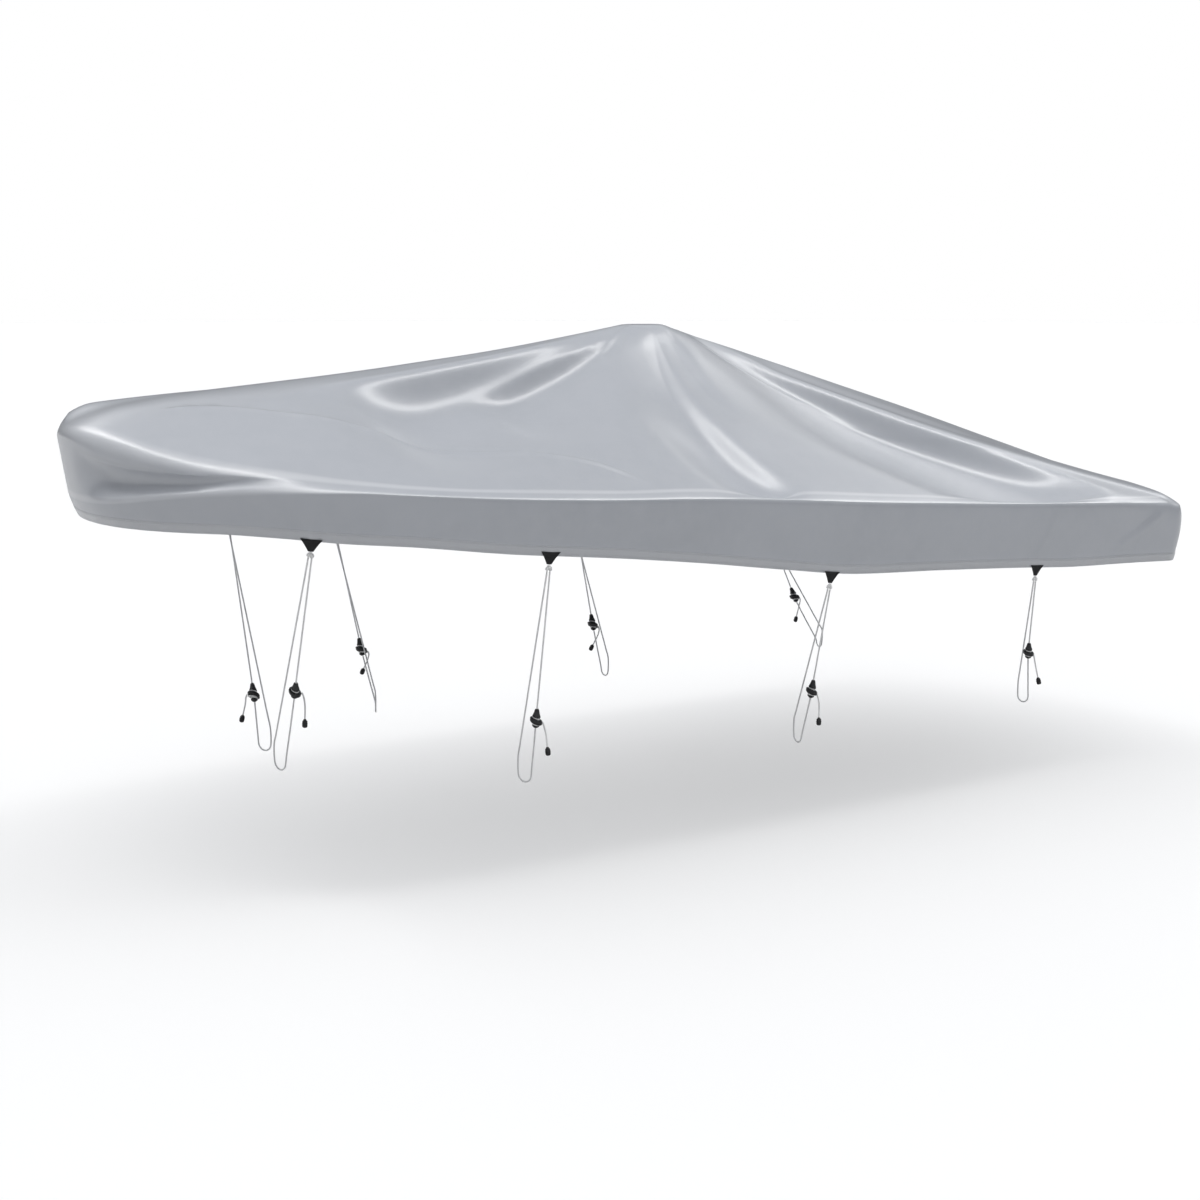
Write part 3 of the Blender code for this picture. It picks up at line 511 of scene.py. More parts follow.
# ====================================================================== curves
def curve(table, x, col=1):
    """Smooth curve through one column of a table, with no overshoot."""
    t = np.array([[r[0], r[col]] for r in table], float)
    xs, ys = t[:, 0], t[:, 1]
    h = np.diff(xs)
    d = np.diff(ys) / h
    m = np.zeros_like(ys)
    m[0], m[-1] = d[0], d[-1]
    for i in range(1, len(xs) - 1):
        if d[i - 1] * d[i] > 0:
            a, b = 2 * h[i] + h[i - 1], h[i] + 2 * h[i - 1]
            m[i] = (a + b) / (a / d[i - 1] + b / d[i])
    x = np.clip(np.asarray(x, float), xs[0], xs[-1])
    i = np.clip(np.searchsorted(xs, x) - 1, 0, len(xs) - 2)
    s = (x - xs[i]) / h[i]
    return ((1 + 2 * s) * (1 - s) ** 2 * ys[i] + s * (1 - s) ** 2 * h[i] * m[i]
            + s * s * (3 - 2 * s) * ys[i + 1] + s * s * (s - 1) * h[i] * m[i + 1])


def smooth(a):
    a = np.clip(a, 0.0, 1.0)
    return a * a * (3 - 2 * a)


def plan_line(name):
    nose, extra = RING[name]
    th = np.linspace(0, math.pi / 2, 400)
    x = MID_X - (MID_X - nose) * np.cos(th)
    y = BEAM * (1 - np.cos(th) ** 2) ** (1 / BOW_POWER) + extra * np.sin(th)
    xa = np.linspace(MID_X, STERN_X - CORNER_R, 200)[1:]
    ya = BEAM - (BEAM - STERN_BEAM) * ((xa - MID_X) / (STERN_X - MID_X)) ** 2 + extra
    a = np.linspace(0, math.pi / 2, 24)[1:]
    xc = STERN_X - CORNER_R + (CORNER_R + 0.6 * extra) * np.sin(a)
    yc = ya[-1] - CORNER_R + CORNER_R * np.cos(a)
    ys = np.linspace(yc[-1], 0, 60)[1:]
    x, y = np.r_[x, xa, xc, np.full_like(ys, xc[-1])], np.r_[y, ya, yc, ys]
    run = np.r_[0, np.cumsum(np.hypot(np.diff(x), np.diff(y)))]
    tx, ty = np.gradient(x, run), np.gradient(y, run)
    if name == "edge":
        out = curve(FLARE, x)
    elif name == "rail":
        out = -curve(SHOULDER, run / run[-1], 1)
    else:
        out = np.zeros_like(x)
    return x - out * ty, -(y + out * tx), run


PLAN = {name: plan_line(name) for name in RING}
HALF_LENGTH = float(PLAN["rail"][2][-1])
U = PLAN["rail"][2] / HALF_LENGTH


def line(name, s):
    s = np.asarray(s, float) % 1.0
    port = s <= 0.5
    u = np.where(port, 2 * s, 2 * (1 - s))
    x, y = np.interp(u, U, PLAN[name][0]), np.interp(u, U, PLAN[name][1])
    rx, ry = np.interp(u, U, PLAN["rail"][0]), np.interp(u, U, PLAN["rail"][1])
    z = curve(SIDE, rx, {"rail": 1, "edge": 2, "hem": 3}[name])
    if name != "hem":
        drop = 0.0 if name == "rail" else 0.016 + curve(SHOULDER, u, 2)
        w = smooth((rx - (STERN_X - 0.06 - CORNER_R)) / CORNER_R)
        z = z * (1 - w) + (curve(STERN, np.abs(ry)) - drop) * w
    return np.stack([x, np.where(port, y, -y), z + GROUND_Z], -1), u


def crest(d, w, sharp):
    """Profile of a fold across its run: a bell, with a tighter crest where it is creased."""
    q = np.sqrt(d * d + (0.22 * w) ** 2) - 0.22 * w
    return (1 - sharp) * np.exp(-(d / w) ** 2) + sharp * np.exp(-1.5 * q / w)


def beside(x, y, pts):
    """Distance from a run of points in plan, and how far along it (0 to 1)."""
    best = np.full(np.shape(x), 1e9)
    along = np.zeros(np.shape(x))
    P = np.array(pts, float)
    seg = np.hypot(*np.diff(P, axis=0).T)
    total, gone = seg.sum(), 0.0
    for a, b, long in zip(P[:-1], P[1:], seg):
        e = (b - a) / long
        f = np.clip(((x - a[0]) * e[0] + (y - a[1]) * e[1]) / long, 0, 1)
        dist = np.hypot(x - a[0] - f * long * e[0], y - a[1] - f * long * e[1])
        nearer = dist < best
        best = np.where(nearer, dist, best)
        along = np.where(nearer, (gone + f * long) / total, along)
        gone += long
    return best, along


def curved(pts, n):
    """A smooth run of points through a few, evenly spaced."""
    P = np.array(pts, float)
    run = np.r_[0, np.cumsum(np.linalg.norm(np.diff(P, axis=0), axis=1))]
    t = np.linspace(0, run[-1], n)
    return np.stack([curve(list(zip(run, P[:, k])), t) for k in range(P.shape[1])], 1)


SEAM_LINE = curved(SEAM, 60)
SEAM_ANGLE = np.arctan2(-SEAM_LINE[:, 1], -SEAM_LINE[:, 0])
SEAM_RADIUS = np.hypot(SEAM_LINE[:, 0], SEAM_LINE[:, 1])


TURN = 0.020          # how round the cloth turns over the edge of a fold


def ledge_drop(x, y):
    """How far the cloth hangs below its tight shape under the edges of its folds."""
    total = np.zeros_like(x)
    for name, x0, y0, x1, y1, bend, side, w0, w1, soon, reach, drops in LEDGES:
        long = math.hypot(x1 - x0, y1 - y0)
        ex, ey = (x1 - x0) / long, (y1 - y0) / long
        f = ((x - x0) * ex + (y - y0) * ey) / long
        g = np.clip(f, 0, 1)
        d = side * ((y - y0) * ex - (x - x0) * ey) - 4 * bend * g * (1 - g)
        w = w0 + (w1 - w0) * g
        q = np.clip(0.5 * (d + np.sqrt(d * d + TURN * TURN)) / w, 0, 1)
        fall = 1 - (1 - q) ** soon
        high = curve([(0.25 * k, v) for k, v in enumerate(drops)], g)
        high = high * smooth(f / 0.10 + 0.5) * smooth((1.16 - f) / 0.28)
        total = total + high * fall * (1 - smooth((d - w) / reach))
    return total


def relief(x, y):
    """Rise of the cloth over its tight shape at a point in plan."""
    total = np.zeros_like(x)
    for name, x0, y0, x1, y1, bend, w0, w1, high, sharp in FOLDS:
        long = math.hypot(x1 - x0, y1 - y0)
        ex, ey = (x1 - x0) / long, (y1 - y0) / long
        f = np.clip(((x - x0) * ex + (y - y0) * ey) / long, 0, 1)
        d = (y - y0) * ex - (x - x0) * ey - 4 * bend * f * (1 - f)
        w = w0 + (w1 - w0) * f
        total = total + high * smooth(f / 0.16) * smooth((1 - f) / 0.28) * crest(d, w, sharp)
    for name, w, high, pts in CREASES:
        d, f = beside(x, y, pts)
        total = total + high * smooth(f / 0.25) * smooth((1 - f) / 0.25) * np.exp(-(d / w) ** 2)
    d, f = beside(x, y, SEAM_LINE)
    total = total + SEAM_H * smooth(f / 0.05) * smooth((1 - f) / 0.06) * np.exp(-(d / SEAM_W) ** 2)
    # slow unevenness of tight cloth
    a = np.arctan2(y, x)
    r = np.hypot(x, y)
    total = total + 0.0016 * smooth((r - 0.2) / 0.6) * np.sin(9 * a + 2.0 * r + 0.6) * np.sin(3.1 * r + 1.0)
    total = total + 0.0010 * smooth((r - 0.3) / 0.6) * np.sin(17 * a - 1.4 * r) * np.cos(5.3 * r)
    return total


def top(s, t):
    s, t = np.broadcast_arrays(np.asarray(s, float), np.asarray(t, float))
    R, u = line("rail", s)
    k = PEAK_R / np.hypot(R[..., 0], R[..., 1])
    f = k + (1 - k) * t
    rise = np.where(R[..., 0] < -1.8, curve(CROWN, R[..., 0]), 0.0)
    side = np.where(s < 0.5, s, s - 1.0)
    far, near = smooth((-side - 0.010) / 0.015), smooth(side / 0.035)
    shape = (curve(CROWN_SHAPE, t) * far
             + (1 - far) * (curve(CROWN_NOSE, t) * (1 - near) + curve(CROWN_NEAR, t) * near))
    x, y = R[..., 0] * f, R[..., 1] * f
    z = (SHEET + (R[..., 2] - SHEET) * t + rise * shape
         - curve(SAG, u) * 4 * t * (1 - t) + relief(x, y) - ledge_drop(x, y) * smooth((1 - t) / 0.05))
    return np.stack([x, y, z], -1)


def outward(s):
    A, B = line("hem", s + 0.002)[0], line("hem", s - 0.002)[0]
    out = np.stack([(A - B)[..., 1], -(A - B)[..., 0]], -1)
    return out / np.linalg.norm(out, axis=-1, keepdims=True)


def band(s, v):
    s, v = np.broadcast_arrays(np.asarray(s, float), np.asarray(v, float))
    E, u = line("edge", s)
    H, _ = line("hem", s)
    swell = curve(BELLY, u) * np.sin(math.pi * np.clip(v, 0, 1) ** 0.7)
    P = E + (H - E) * v[..., None]
    P[..., :2] += outward(s) * swell[..., None]
    return P


def skirt_relief(s, d, P, height):
    """How far the skirt's cloth stands out, at d up from the hem's lower edge."""
    arc = 2 * HALF_LENGTH * s
    rise = np.zeros_like(d)
    body = smooth(d / 0.06) * smooth((height - d) / 0.07)
    rise += 0.0014 * body * np.sin(2 * math.pi * arc / 0.61 + 4 * d) * np.sin(2 * math.pi * arc / 1.57 + 0.7)
    low = np.exp(-((d - 0.03) / 0.05) ** 2)
    rise += 0.0010 * low * np.sin(2 * math.pi * arc / 0.132 + 1.1) * np.sin(2 * math.pi * arc / 0.83)
    rise += 0.0007 * low * np.sin(2 * math.pi * arc / 0.079) * np.sin(2 * math.pi * arc / 0.47 + 2)
    for side, w, high, pts in SKIRT:
        dist, f = beside(P[..., 0], P[..., 2], pts)
        here = (P[..., 1] * side > 0.3)
        rise += np.where(here, high * smooth(f / 0.2) * smooth((1 - f) / 0.2) * np.exp(-(dist / w) ** 2), 0.0)
    # the pull of each tie: short creases that fan up from its tab
    for row in TIES:
        off = (s - row[1] + 0.5) % 1.0 - 0.5
        a = 2 * HALF_LENGTH * off
        reach = np.exp(-(np.maximum(d, 0) / 0.09) ** 2) * np.exp(-(a / (0.05 + 0.8 * np.maximum(d, 0))) ** 2)
        rise += 0.0022 * reach * np.cos(2 * math.pi * a / (0.055 + 0.55 * np.maximum(d, 0))) * smooth(d / 0.02)
    return rise


# ====================================================================== cover
PORT, FAR = 312, 146
N_TOP, N_RAIL, N_PANEL, N_EDGE, N_BAND = 50, 8, 9, 8, 12
HEM_ROWS = [  # up from the lower edge, how far it stands proud
    (0.0430, 0.0000), (0.0402, 0.0002), (0.0394, 0.0011), (0.0378, 0.0011), (0.0366, 0.0004),
    (0.0360, 0.0002), (0.0354, 0.0004), (0.0340, 0.0012), (0.0270, 0.0016), (0.0160, 0.0016),
    (0.0080, 0.0013), (0.0064, 0.0007), (0.0058, 0.0006), (0.0050, 0.0010), (0.0020, 0.0010), (0.0000, 0.0004),
]
CAP_ROWS = (0.30, 0.60, 0.80, 0.92)


def bezier(A, B, C, n):
    t = (np.arange(1, n + 1) / n)[:, None, None]
    return (1 - t) ** 2 * A[None] + 2 * t * (1 - t) * B[None] + t ** 2 * C[None]


def cover_rows(s):
    """Rows of points of the outer face of the cloth from the peak to the hem."""
    n = len(s)
    R0, u = line("rail", s)
    hub_edge = top(s, np.zeros(n))
    R = top(s, np.ones(n))
    E, _ = line("edge", s)
    H, _ = line("hem", s)
    out = outward(s)
    L = np.linalg.norm(R - hub_edge, axis=1)
    RE = np.linalg.norm(R - E, axis=1)
    EH = np.linalg.norm(E - H, axis=1)
    rows, meta = [], []                       # meta: distance up from the hem, painted highlight

    # rows of the top crowd together along the long crease, at the rim of the flat
    # place and over the round of the bow
    t_end = 1 - (0.048 + 0.037 * np.where(s < 0.5, smooth(s / 0.02) * smooth((0.20 - s) / 0.10), 0.0)) / L
    ang = np.arctan2(-R0[:, 1], -R0[:, 0])
    order = np.argsort(SEAM_ANGLE)
    rad = np.interp(ang, SEAM_ANGLE[order], SEAM_RADIUS[order])
    k = np.hypot(R0[:, 0], R0[:, 1])
    tc = np.clip((rad / k - PEAK_R / k) / (1 - PEAK_R / k), 0.5, 0.985)
    lo, hi = SEAM_ANGLE.min(), SEAM_ANGLE.max()
    inside = smooth((ang - lo + 0.10) / 0.10) * smooth((hi + 0.10 - ang) / 0.10)
    T = np.zeros((N_TOP, n))
    tt = np.linspace(0, 1, 700)
    for j in range(n):
        t = tt * t_end[j]
        rho = 1.0 + 3.5 * np.exp(-(t * L[j] / 0.035) ** 2)
        rho = rho + 14.0 * inside[j] * np.exp(-((t - tc[j]) * L[j] / 0.026) ** 2)
        bow = smooth((-R0[j, 0] - 1.7) / 0.6)
        rho = rho + 2.2 * bow * smooth((t - 0.84) / 0.06)
        c = np.r_[0, np.cumsum(0.5 * (rho[1:] + rho[:-1]))]
        T[:, j] = np.interp(np.arange(N_TOP) / (N_TOP - 1) * c[-1], c, t)
    topP = top(np.broadcast_to(s, T.shape), T)
    # round the rim of the flat place over the pole
    slope = (topP[0, :, 2] - top(s, np.full(n, 0.02))[:, 2]) / (0.02 * np.hypot(*(R - hub_edge)[:, :2].T))
    w = 0.008
    along = T * np.hypot(*(R - hub_edge)[:, :2].T)
    topP[..., 2] -= slope * w * (np.log1p(np.exp(-along / w)))
    for g in CAP_ROWS:
        P = hub_edge.copy()
        P[:, :2] *= g
        rho = -(1 - g) * PEAK_R
        P[:, 2] = SHEET - slope * w * np.log1p(np.exp(rho / w))
        rows.append(P)
        meta.append((np.full(n, 1.5), np.full(n, 0.15)))
    # the rim of the flat place over the pole gets a little of the painted highlight
    for i in range(N_TOP):
        rows.append(topP[i])
        meta.append((np.full(n, 1.0), 0.5 * np.exp(-(T[i] * L / 0.03) ** 2)))
    A = topP[-1]

    # round of the rail, the bow panel, and the round of the gunwale
    port_bow = np.where(s < 0.5, smooth((s - 0.001) / 0.02) * smooth((0.20 - s) / 0.10), 0.0)
    mr = np.minimum((0.040 + 0.045 * port_bow) / RE, 0.42)[:, None]
    B = R + (E - R) * mr
    flank = np.where(s < 0.5, smooth((s - 0.002) / 0.020) * smooth((0.150 - s) / 0.090),
                     smooth((1 - s - 0.050) / 0.020) * smooth((0.150 - (1 - s)) / 0.070))

    def panel(f):
        """The panel from the rail to the gunwale: it hangs in, then flares out low down."""
        deep = 0.80 * flank * RE * f * (1 - f)
        P = B + (E - B) * f
        P[:, :2] -= out * deep[:, None]
        return P

    # the round of the rail gets the painted highlight, lightest at its middle
    for i, P in enumerate(bezier(A, R, B, N_RAIL)):
        rows.append(P)
        meta.append((np.full(n, 0.6), np.full(n, math.sin(math.pi * (i + 1) / (N_RAIL + 1)))))
    low = 0.90
    C = panel(low)
    trim = np.linalg.norm(C - E, axis=1)
    short = np.minimum(trim, 0.040 - 0.024 * smooth((RE - 0.05) / 0.08))
    for i in range(1, N_PANEL):
        rows.append(panel(low * i / N_PANEL))
        meta.append((np.full(n, 0.5), np.full(n, 0.25)))
    C = E + (C - E) * (short / trim)[:, None]
    trim = short
    rows.append(C)
    meta.append((np.full(n, 0.5), np.full(n, 0.3)))
    vd = trim / EH

    def skirt(v, proud):
        P = band(s, v)
        d = (1 - v) * EH
        rise = skirt_relief(s, d, P, EH) + proud
        P[:, :2] += out * rise[:, None]
        return P, d

    D, dd = skirt(vd, 0.0)
    # the round of the gunwale gets the painted highlight, lightest at its middle
    for i, P in enumerate(bezier(C, E, D, N_EDGE)):
        rows.append(P)
        meta.append((np.full(n, 0.4), np.full(n, 0.3 + 0.7 * math.sin(math.pi * (i + 1) / (N_EDGE + 1)))))
    first = len(rows) - (N_RAIL + N_PANEL + N_EDGE)
    corner = bezier(A, 0.5 * (R + E), D, N_RAIL + N_PANEL + N_EDGE)
    apart = smooth((RE - 0.045) / 0.085)[:, None]
    for i, P in enumerate(corner):
        rows[first + i] = rows[first + i] * apart + P * (1 - apart)
    vh = 1 - HEM_ROWS[0][0] / EH
    for i in range(1, N_BAND):
        P, d = skirt(vd + (vh - vd) * i / N_BAND, 0.0)
        rows.append(P)
        meta.append((d, np.zeros(n)))
    for up, proud in HEM_ROWS:
        P, d = skirt(1 - up / EH, proud)
        rows.append(P)
        meta.append((d, np.zeros(n)))
    return np.array(rows), meta, u


CROWDED = [(0.075, 0.050, 1.2), (0.405, 0.045, 1.2)]


def columns(port, far):
    """Places round the cover of its columns, closer where the folds of a side run."""
    grid = np.linspace(0, 0.5, 2001)
    rho = 1 + sum(k * np.exp(-((grid - c) / w) ** 2) for c, w, k in CROWDED)
    run = np.r_[0, np.cumsum(0.5 * (rho[1:] + rho[:-1]))]
    run = run / run[-1]
    return np.r_[np.interp(np.arange(port) / port, run, grid),
                 1 - np.interp(1 - np.arange(far) / far, run, grid)]


cols = columns(PORT, FAR)
G, META, _u = cover_rows(cols)
NR, NC = G.shape[:2]


def grid_normals(P):
    du = np.roll(P, -1, 1) - np.roll(P, 1, 1)
    dv = np.zeros_like(P)
    dv[1:-1] = P[2:] - P[:-2]
    dv[0], dv[-1] = P[1] - P[0], P[-1] - P[-2]
    nrm = np.cross(dv, du)
    return nrm / np.maximum(np.linalg.norm(nrm, axis=-1, keepdims=True), 1e-12)


NRM = grid_normals(G)
if NRM[5, :, 2].mean() < 0:
    NRM = -NRM


def flat_cloth():
    """Where each point of the grid lies on the cloth laid out flat, for its weave."""
    F = G[..., :2].copy()
    k = len(CAP_ROWS) + N_TOP - 1
    out = outward(cols)
    for i in range(k + 1, NR):
        step = np.linalg.norm(G[i] - G[i - 1], axis=-1)
        F[i] = F[i - 1] + out * step[:, None]
    return F


def build_cover():
    outer, inner = G.reshape(-1, 3), (G - NRM * SHEET).reshape(-1, 3)
    hub = np.array([[0, 0, SHEET], [0, 0, 0.0]])
    verts = np.concatenate([outer, inner, hub])
    n = NR * NC
    i, j = np.meshgrid(np.arange(NR - 1), np.arange(NC), indexing="ij")
    k = (j + 1) % NC
    a, b, c, d = i * NC + j, i * NC + k, (i + 1) * NC + k, (i + 1) * NC + j
    quads = np.stack([a, d, c, b], -1).reshape(-1, 4)
    under = np.stack([a, b, c, d], -1).reshape(-1, 4) + n
    j = np.arange(NC)
    k = (j + 1) % NC
    base = (NR - 1) * NC
    rim = np.stack([base + j, base + j + n, base + k + n, base + k], -1)
    faces = [tuple(map(int, f)) for f in np.concatenate([quads, under, rim])]
    faces += [(2 * n, int(x), int(y)) for x, y in zip(j, k)]
    faces += [(2 * n + 1, int(y) + n, int(x) + n) for x, y in zip(j, k)]
    me = bpy.data.meshes.new("cover_cloth")
    me.from_pydata(verts.tolist(), [], faces)
    me.validate()
    F = flat_cloth()
    dh = np.array([m[0] for m in META])
    # how much each point is lightened by the painted highlight
    painted_highlight = np.array([m[1] for m in META])
    vec = np.concatenate([F, dh[..., None]], -1).reshape(-1, 3)
    vec = np.concatenate([vec, vec, [[0, 0, 1.5]], [[0, 0, 1.5]]])
    at = me.attributes.new("cloth", "FLOAT_VECTOR", "POINT")
    at.data.foreach_set("vector", vec.astype(np.float32).ravel())
    painted_highlight_at = np.r_[painted_highlight.ravel(), np.zeros(n), 0.0, 0.0]
    at = me.attributes.new("painted_highlight", "FLOAT", "POINT")
    at.data.foreach_set("value", painted_highlight_at.astype(np.float32))
    me.materials.append(CLOTH)
    me.shade_smooth()
    me.set_sharp_from_angle(angle=math.radians(55))
    ob = add("cover_cloth", me)
    return ob


cover = build_cover()
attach(cover, "root")
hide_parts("cover")


def mesh_piece(name, verts, faces, mat, sharp=40, uv=None, uv_name=None):
    me = bpy.data.meshes.new(name)
    me.from_pydata([tuple(map(float, v)) for v in verts], [], faces)
    if uv is not None:
        layer = me.uv_layers.new(name=uv_name)
        layer.data.foreach_set("uv", np.asarray(uv, np.float32).ravel())
    me.materials.append(mat)
    me.shade_smooth()
    me.set_sharp_from_angle(angle=math.radians(sharp))
    ob = add(name, me)
    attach(ob, "root")
    return ob


def stitch_mesh(points, dirs, normals, long, wide, high):
    """Short raised stitches, one at each point: (verts, faces)."""
    verts, faces = [], []
    for p, d, nn in zip(points, dirs, normals):
        d = d / np.linalg.norm(d)
        nn = nn / np.linalg.norm(nn)
        a = np.cross(d, nn)
        b = len(verts)
        verts.append(p - d * long / 2 - nn * 0.0002)
        for f in (-0.28, 0.28):
            c = p + d * long * f
            verts += [c + a * wide / 2, c + nn * high, c - a * wide / 2, c - nn * 0.0004]
        verts.append(p + d * long / 2 - nn * 0.0002)
        for i in range(4):
            j = (i + 1) % 4
            faces.append((b, b + 1 + j, b + 1 + i))
            faces.append((b + 1 + i, b + 1 + j, b + 5 + j, b + 5 + i))
            faces.append((b + 5 + i, b + 5 + j, b + 9))
    return verts, faces


def hem_stitches():
    verts, faces = [], []
    hem_row = NR - len(HEM_ROWS)
    pitch = 0.0080
    for up in (0.0360, 0.0058):
        i = hem_row + [abs(r[0] - up) < 1e-6 for r in HEM_ROWS].index(True)
        ringP = np.concatenate([G[i], G[i][:1]])
        ringN = np.concatenate([NRM[i + 2], NRM[i + 2][:1]])
        run = np.r_[0, np.cumsum(np.linalg.norm(np.diff(ringP, axis=0), axis=1))]
        count = int(run[-1] / pitch)
        at = (np.arange(count) + 0.5) * run[-1] / count
        P = np.stack([np.interp(at, run, ringP[:, k]) for k in range(3)], 1)
        Nn = np.stack([np.interp(at, run, ringN[:, k]) for k in range(3)], 1)
        Q = np.stack([np.interp(at + 0.002, run, ringP[:, k]) for k in range(3)], 1)
        D = Q - P
        D[-1] = D[-2]
        Nn = Nn / np.linalg.norm(Nn, axis=1, keepdims=True)
        v, f = stitch_mesh(P + Nn * 0.0003, D, Nn, 0.0060, 0.0011, 0.0006)
        b = len(verts)
        verts += v
        faces += [tuple(x + b for x in q) for q in f]
    return mesh_piece("hem_stitching", verts, faces, THREAD, 60)


stitching = hem_stitches()


# ====================================================================== ties
def V(a):
    return np.array(a, float)


def unit(a):
    return a / np.linalg.norm(a)


def through(points, counts):
    """Points read from one smooth curve through the route's own points."""
    P = [V(p) for p in points]
    P = [P[0] * 2 - P[1]] + P + [P[-1] * 2 - P[-2]]
    out = [P[1]]
    for i, n in enumerate(counts):
        a, b, c, d = P[i:i + 4]
        t0 = 0.0
        t1 = t0 + np.linalg.norm(b - a) ** 0.5
        t2 = t1 + np.linalg.norm(c - b) ** 0.5
        t3 = t2 + np.linalg.norm(d - c) ** 0.5
        for k in range(1, n + 1):
            t = t1 + (t2 - t1) * k / n
            A1 = a * ((t1 - t) / (t1 - t0)) + b * ((t - t0) / (t1 - t0))
            A2 = b * ((t2 - t) / (t2 - t1)) + c * ((t - t1) / (t2 - t1))
            A3 = c * ((t3 - t) / (t3 - t2)) + d * ((t - t2) / (t3 - t2))
            B1 = A1 * ((t2 - t) / (t2 - t0)) + A2 * ((t - t0) / (t2 - t0))
            B2 = A2 * ((t3 - t) / (t3 - t1)) + A3 * ((t - t1) / (t3 - t1))
            out.append(B1 * ((t2 - t) / (t2 - t1)) + B2 * ((t - t1) / (t2 - t1)))
    return out


def lerp(a, b, f):
    return a + (b - a) * f


def loop_route(start, outer, inner, end):
    i = V((inner[0], inner[1], RAIL_TOP))
    half = (V((inner[0], inner[1], 0)) - V((outer[0], outer[1], 0))) * 0.5
    mid = V((outer[0], outer[1], 0)) + half
    r = np.linalg.norm(half)
    bend = []
    for k in range(7):
        a = math.pi * k / 6
        bend.append(mid + half * math.cos(a) + V((0, 0, RAIL_BOTTOM + r - r * math.sin(a))))
    pts = [start, lerp(start, i, 0.35), lerp(start, i, 0.72), lerp(start, i, 0.94), i] + bend
    pts += [lerp(bend[-1], end, 0.12) + V((0, 0, 0.004)), lerp(bend[-1], end, 0.5), end]
    return through(pts, [3, 3, 3, 4, 4, 3, 3, 3, 3, 3, 3, 4, 3, 3])


def tube_mesh(path, radius, sides=14, ends=True):
    """Round tube along a path, with rope coordinates: (verts, faces, uv)."""
    P = np.array(path, float)
    n = len(P)
    T = np.zeros_like(P)
    T[1:-1] = P[2:] - P[:-2]
    T[0], T[-1] = P[1] - P[0], P[-1] - P[-2]
    T /= np.linalg.norm(T, axis=1, keepdims=True)
    run = np.r_[0, np.cumsum(np.linalg.norm(np.diff(P, axis=0), axis=1))]
    a = unit(np.cross(T[0], V((0.31, 0.83, 0.46))))
    verts, uvrow = [], []
    rad = [radius] * n
    for i in range(n):
        a = unit(a - T[i] * np.dot(a, T[i]))
        b = np.cross(T[i], a)
        for k in range(sides):
            g = 2 * math.pi * k / sides
            verts.append(P[i] + (a * math.cos(g) + b * math.sin(g)) * rad[i])
    faces, uv = [], []
    for i in range(n - 1):
        for k in range(sides):
            m = (k + 1) % sides
            faces.append((i * sides + k, i * sides + m, (i + 1) * sides + m, (i + 1) * sides + k))
            uv += [(k / sides, run[i]), ((k + 1) / sides, run[i]),
                   ((k + 1) / sides, run[i + 1]), (k / sides, run[i + 1])]
    for end, way in ((0, -1), (n - 1, 1)):
        ring = [end * sides + k for k in range(sides)]
        c = len(verts)
        verts.append(P[end] + T[end] * way * radius * 0.35)
        for k in range(sides):
            m = (k + 1) % sides
            tri = (c, ring[m], ring[k]) if way < 0 else (c, ring[k], ring[m])
            faces.append(tri)
            uv += [(0.5, run[end]), (k / sides, run[end]), ((k + 1) / sides, run[end])]
    return verts, faces, uv


def join(parts):
    verts, faces, uv = [], [], []
    for v, f, q in parts:
        b = len(verts)
        verts += list(v)
        faces += [tuple(x + b for x in g) for g in f]
        uv += list(q)
    return verts, faces, uv


def rope_piece(name, path, radius=ROPE_D / 2):
    v, f, q = tube_mesh(path, radius)
    return mesh_piece(name, v, f, ROPE, 50, q, "rope")


def lathe(profile, place, axis, ex, ey, seg, tilt=None, ribs=None):
    verts, faces = [], []
    for dist, radius in profile:
        tn = 0.0 if tilt is None else math.tan(math.radians(np.interp(dist, *zip(*tilt))))
        for k in range(seg):
            g = 2 * math.pi * k / seg
            r = radius * (1.0 if ribs is None else ribs(dist, g))
            verts.append(place + axis * dist + (ex * math.cos(g) + ey * math.sin(g)) * r
                         + axis * r * math.cos(g) * tn)
    rows = len(profile)
    for i in range(rows - 1):
        for k in range(seg):
            m = (k + 1) % seg
            faces.append((i * seg + k, (i + 1) * seg + k, (i + 1) * seg + m, i * seg + m))
    for end, way in ((0, -1), (rows - 1, 1)):
        c = len(verts)
        verts.append(place + axis * profile[end][0])
        for k in range(seg):
            m = (k + 1) % seg
            tri = (c, end * seg + k, end * seg + m) if way < 0 else (c, end * seg + m, end * seg + k)
            faces.append(tri)
    return verts, faces


def hem_frame(s):
    H = V(band(s, 1.0))
    along = unit(V(band(s + 0.003, 1.0)) - V(band(s - 0.003, 1.0)))
    up = unit(V(band(s, 0.80)) - H)
    out = unit(np.cross(along, up))
    if np.dot(out, V((H[0] * 0.3, H[1], 0.0))) < 0:
        out = -out
    up = unit(up - along * np.dot(up, along))
    return H, along, up, out


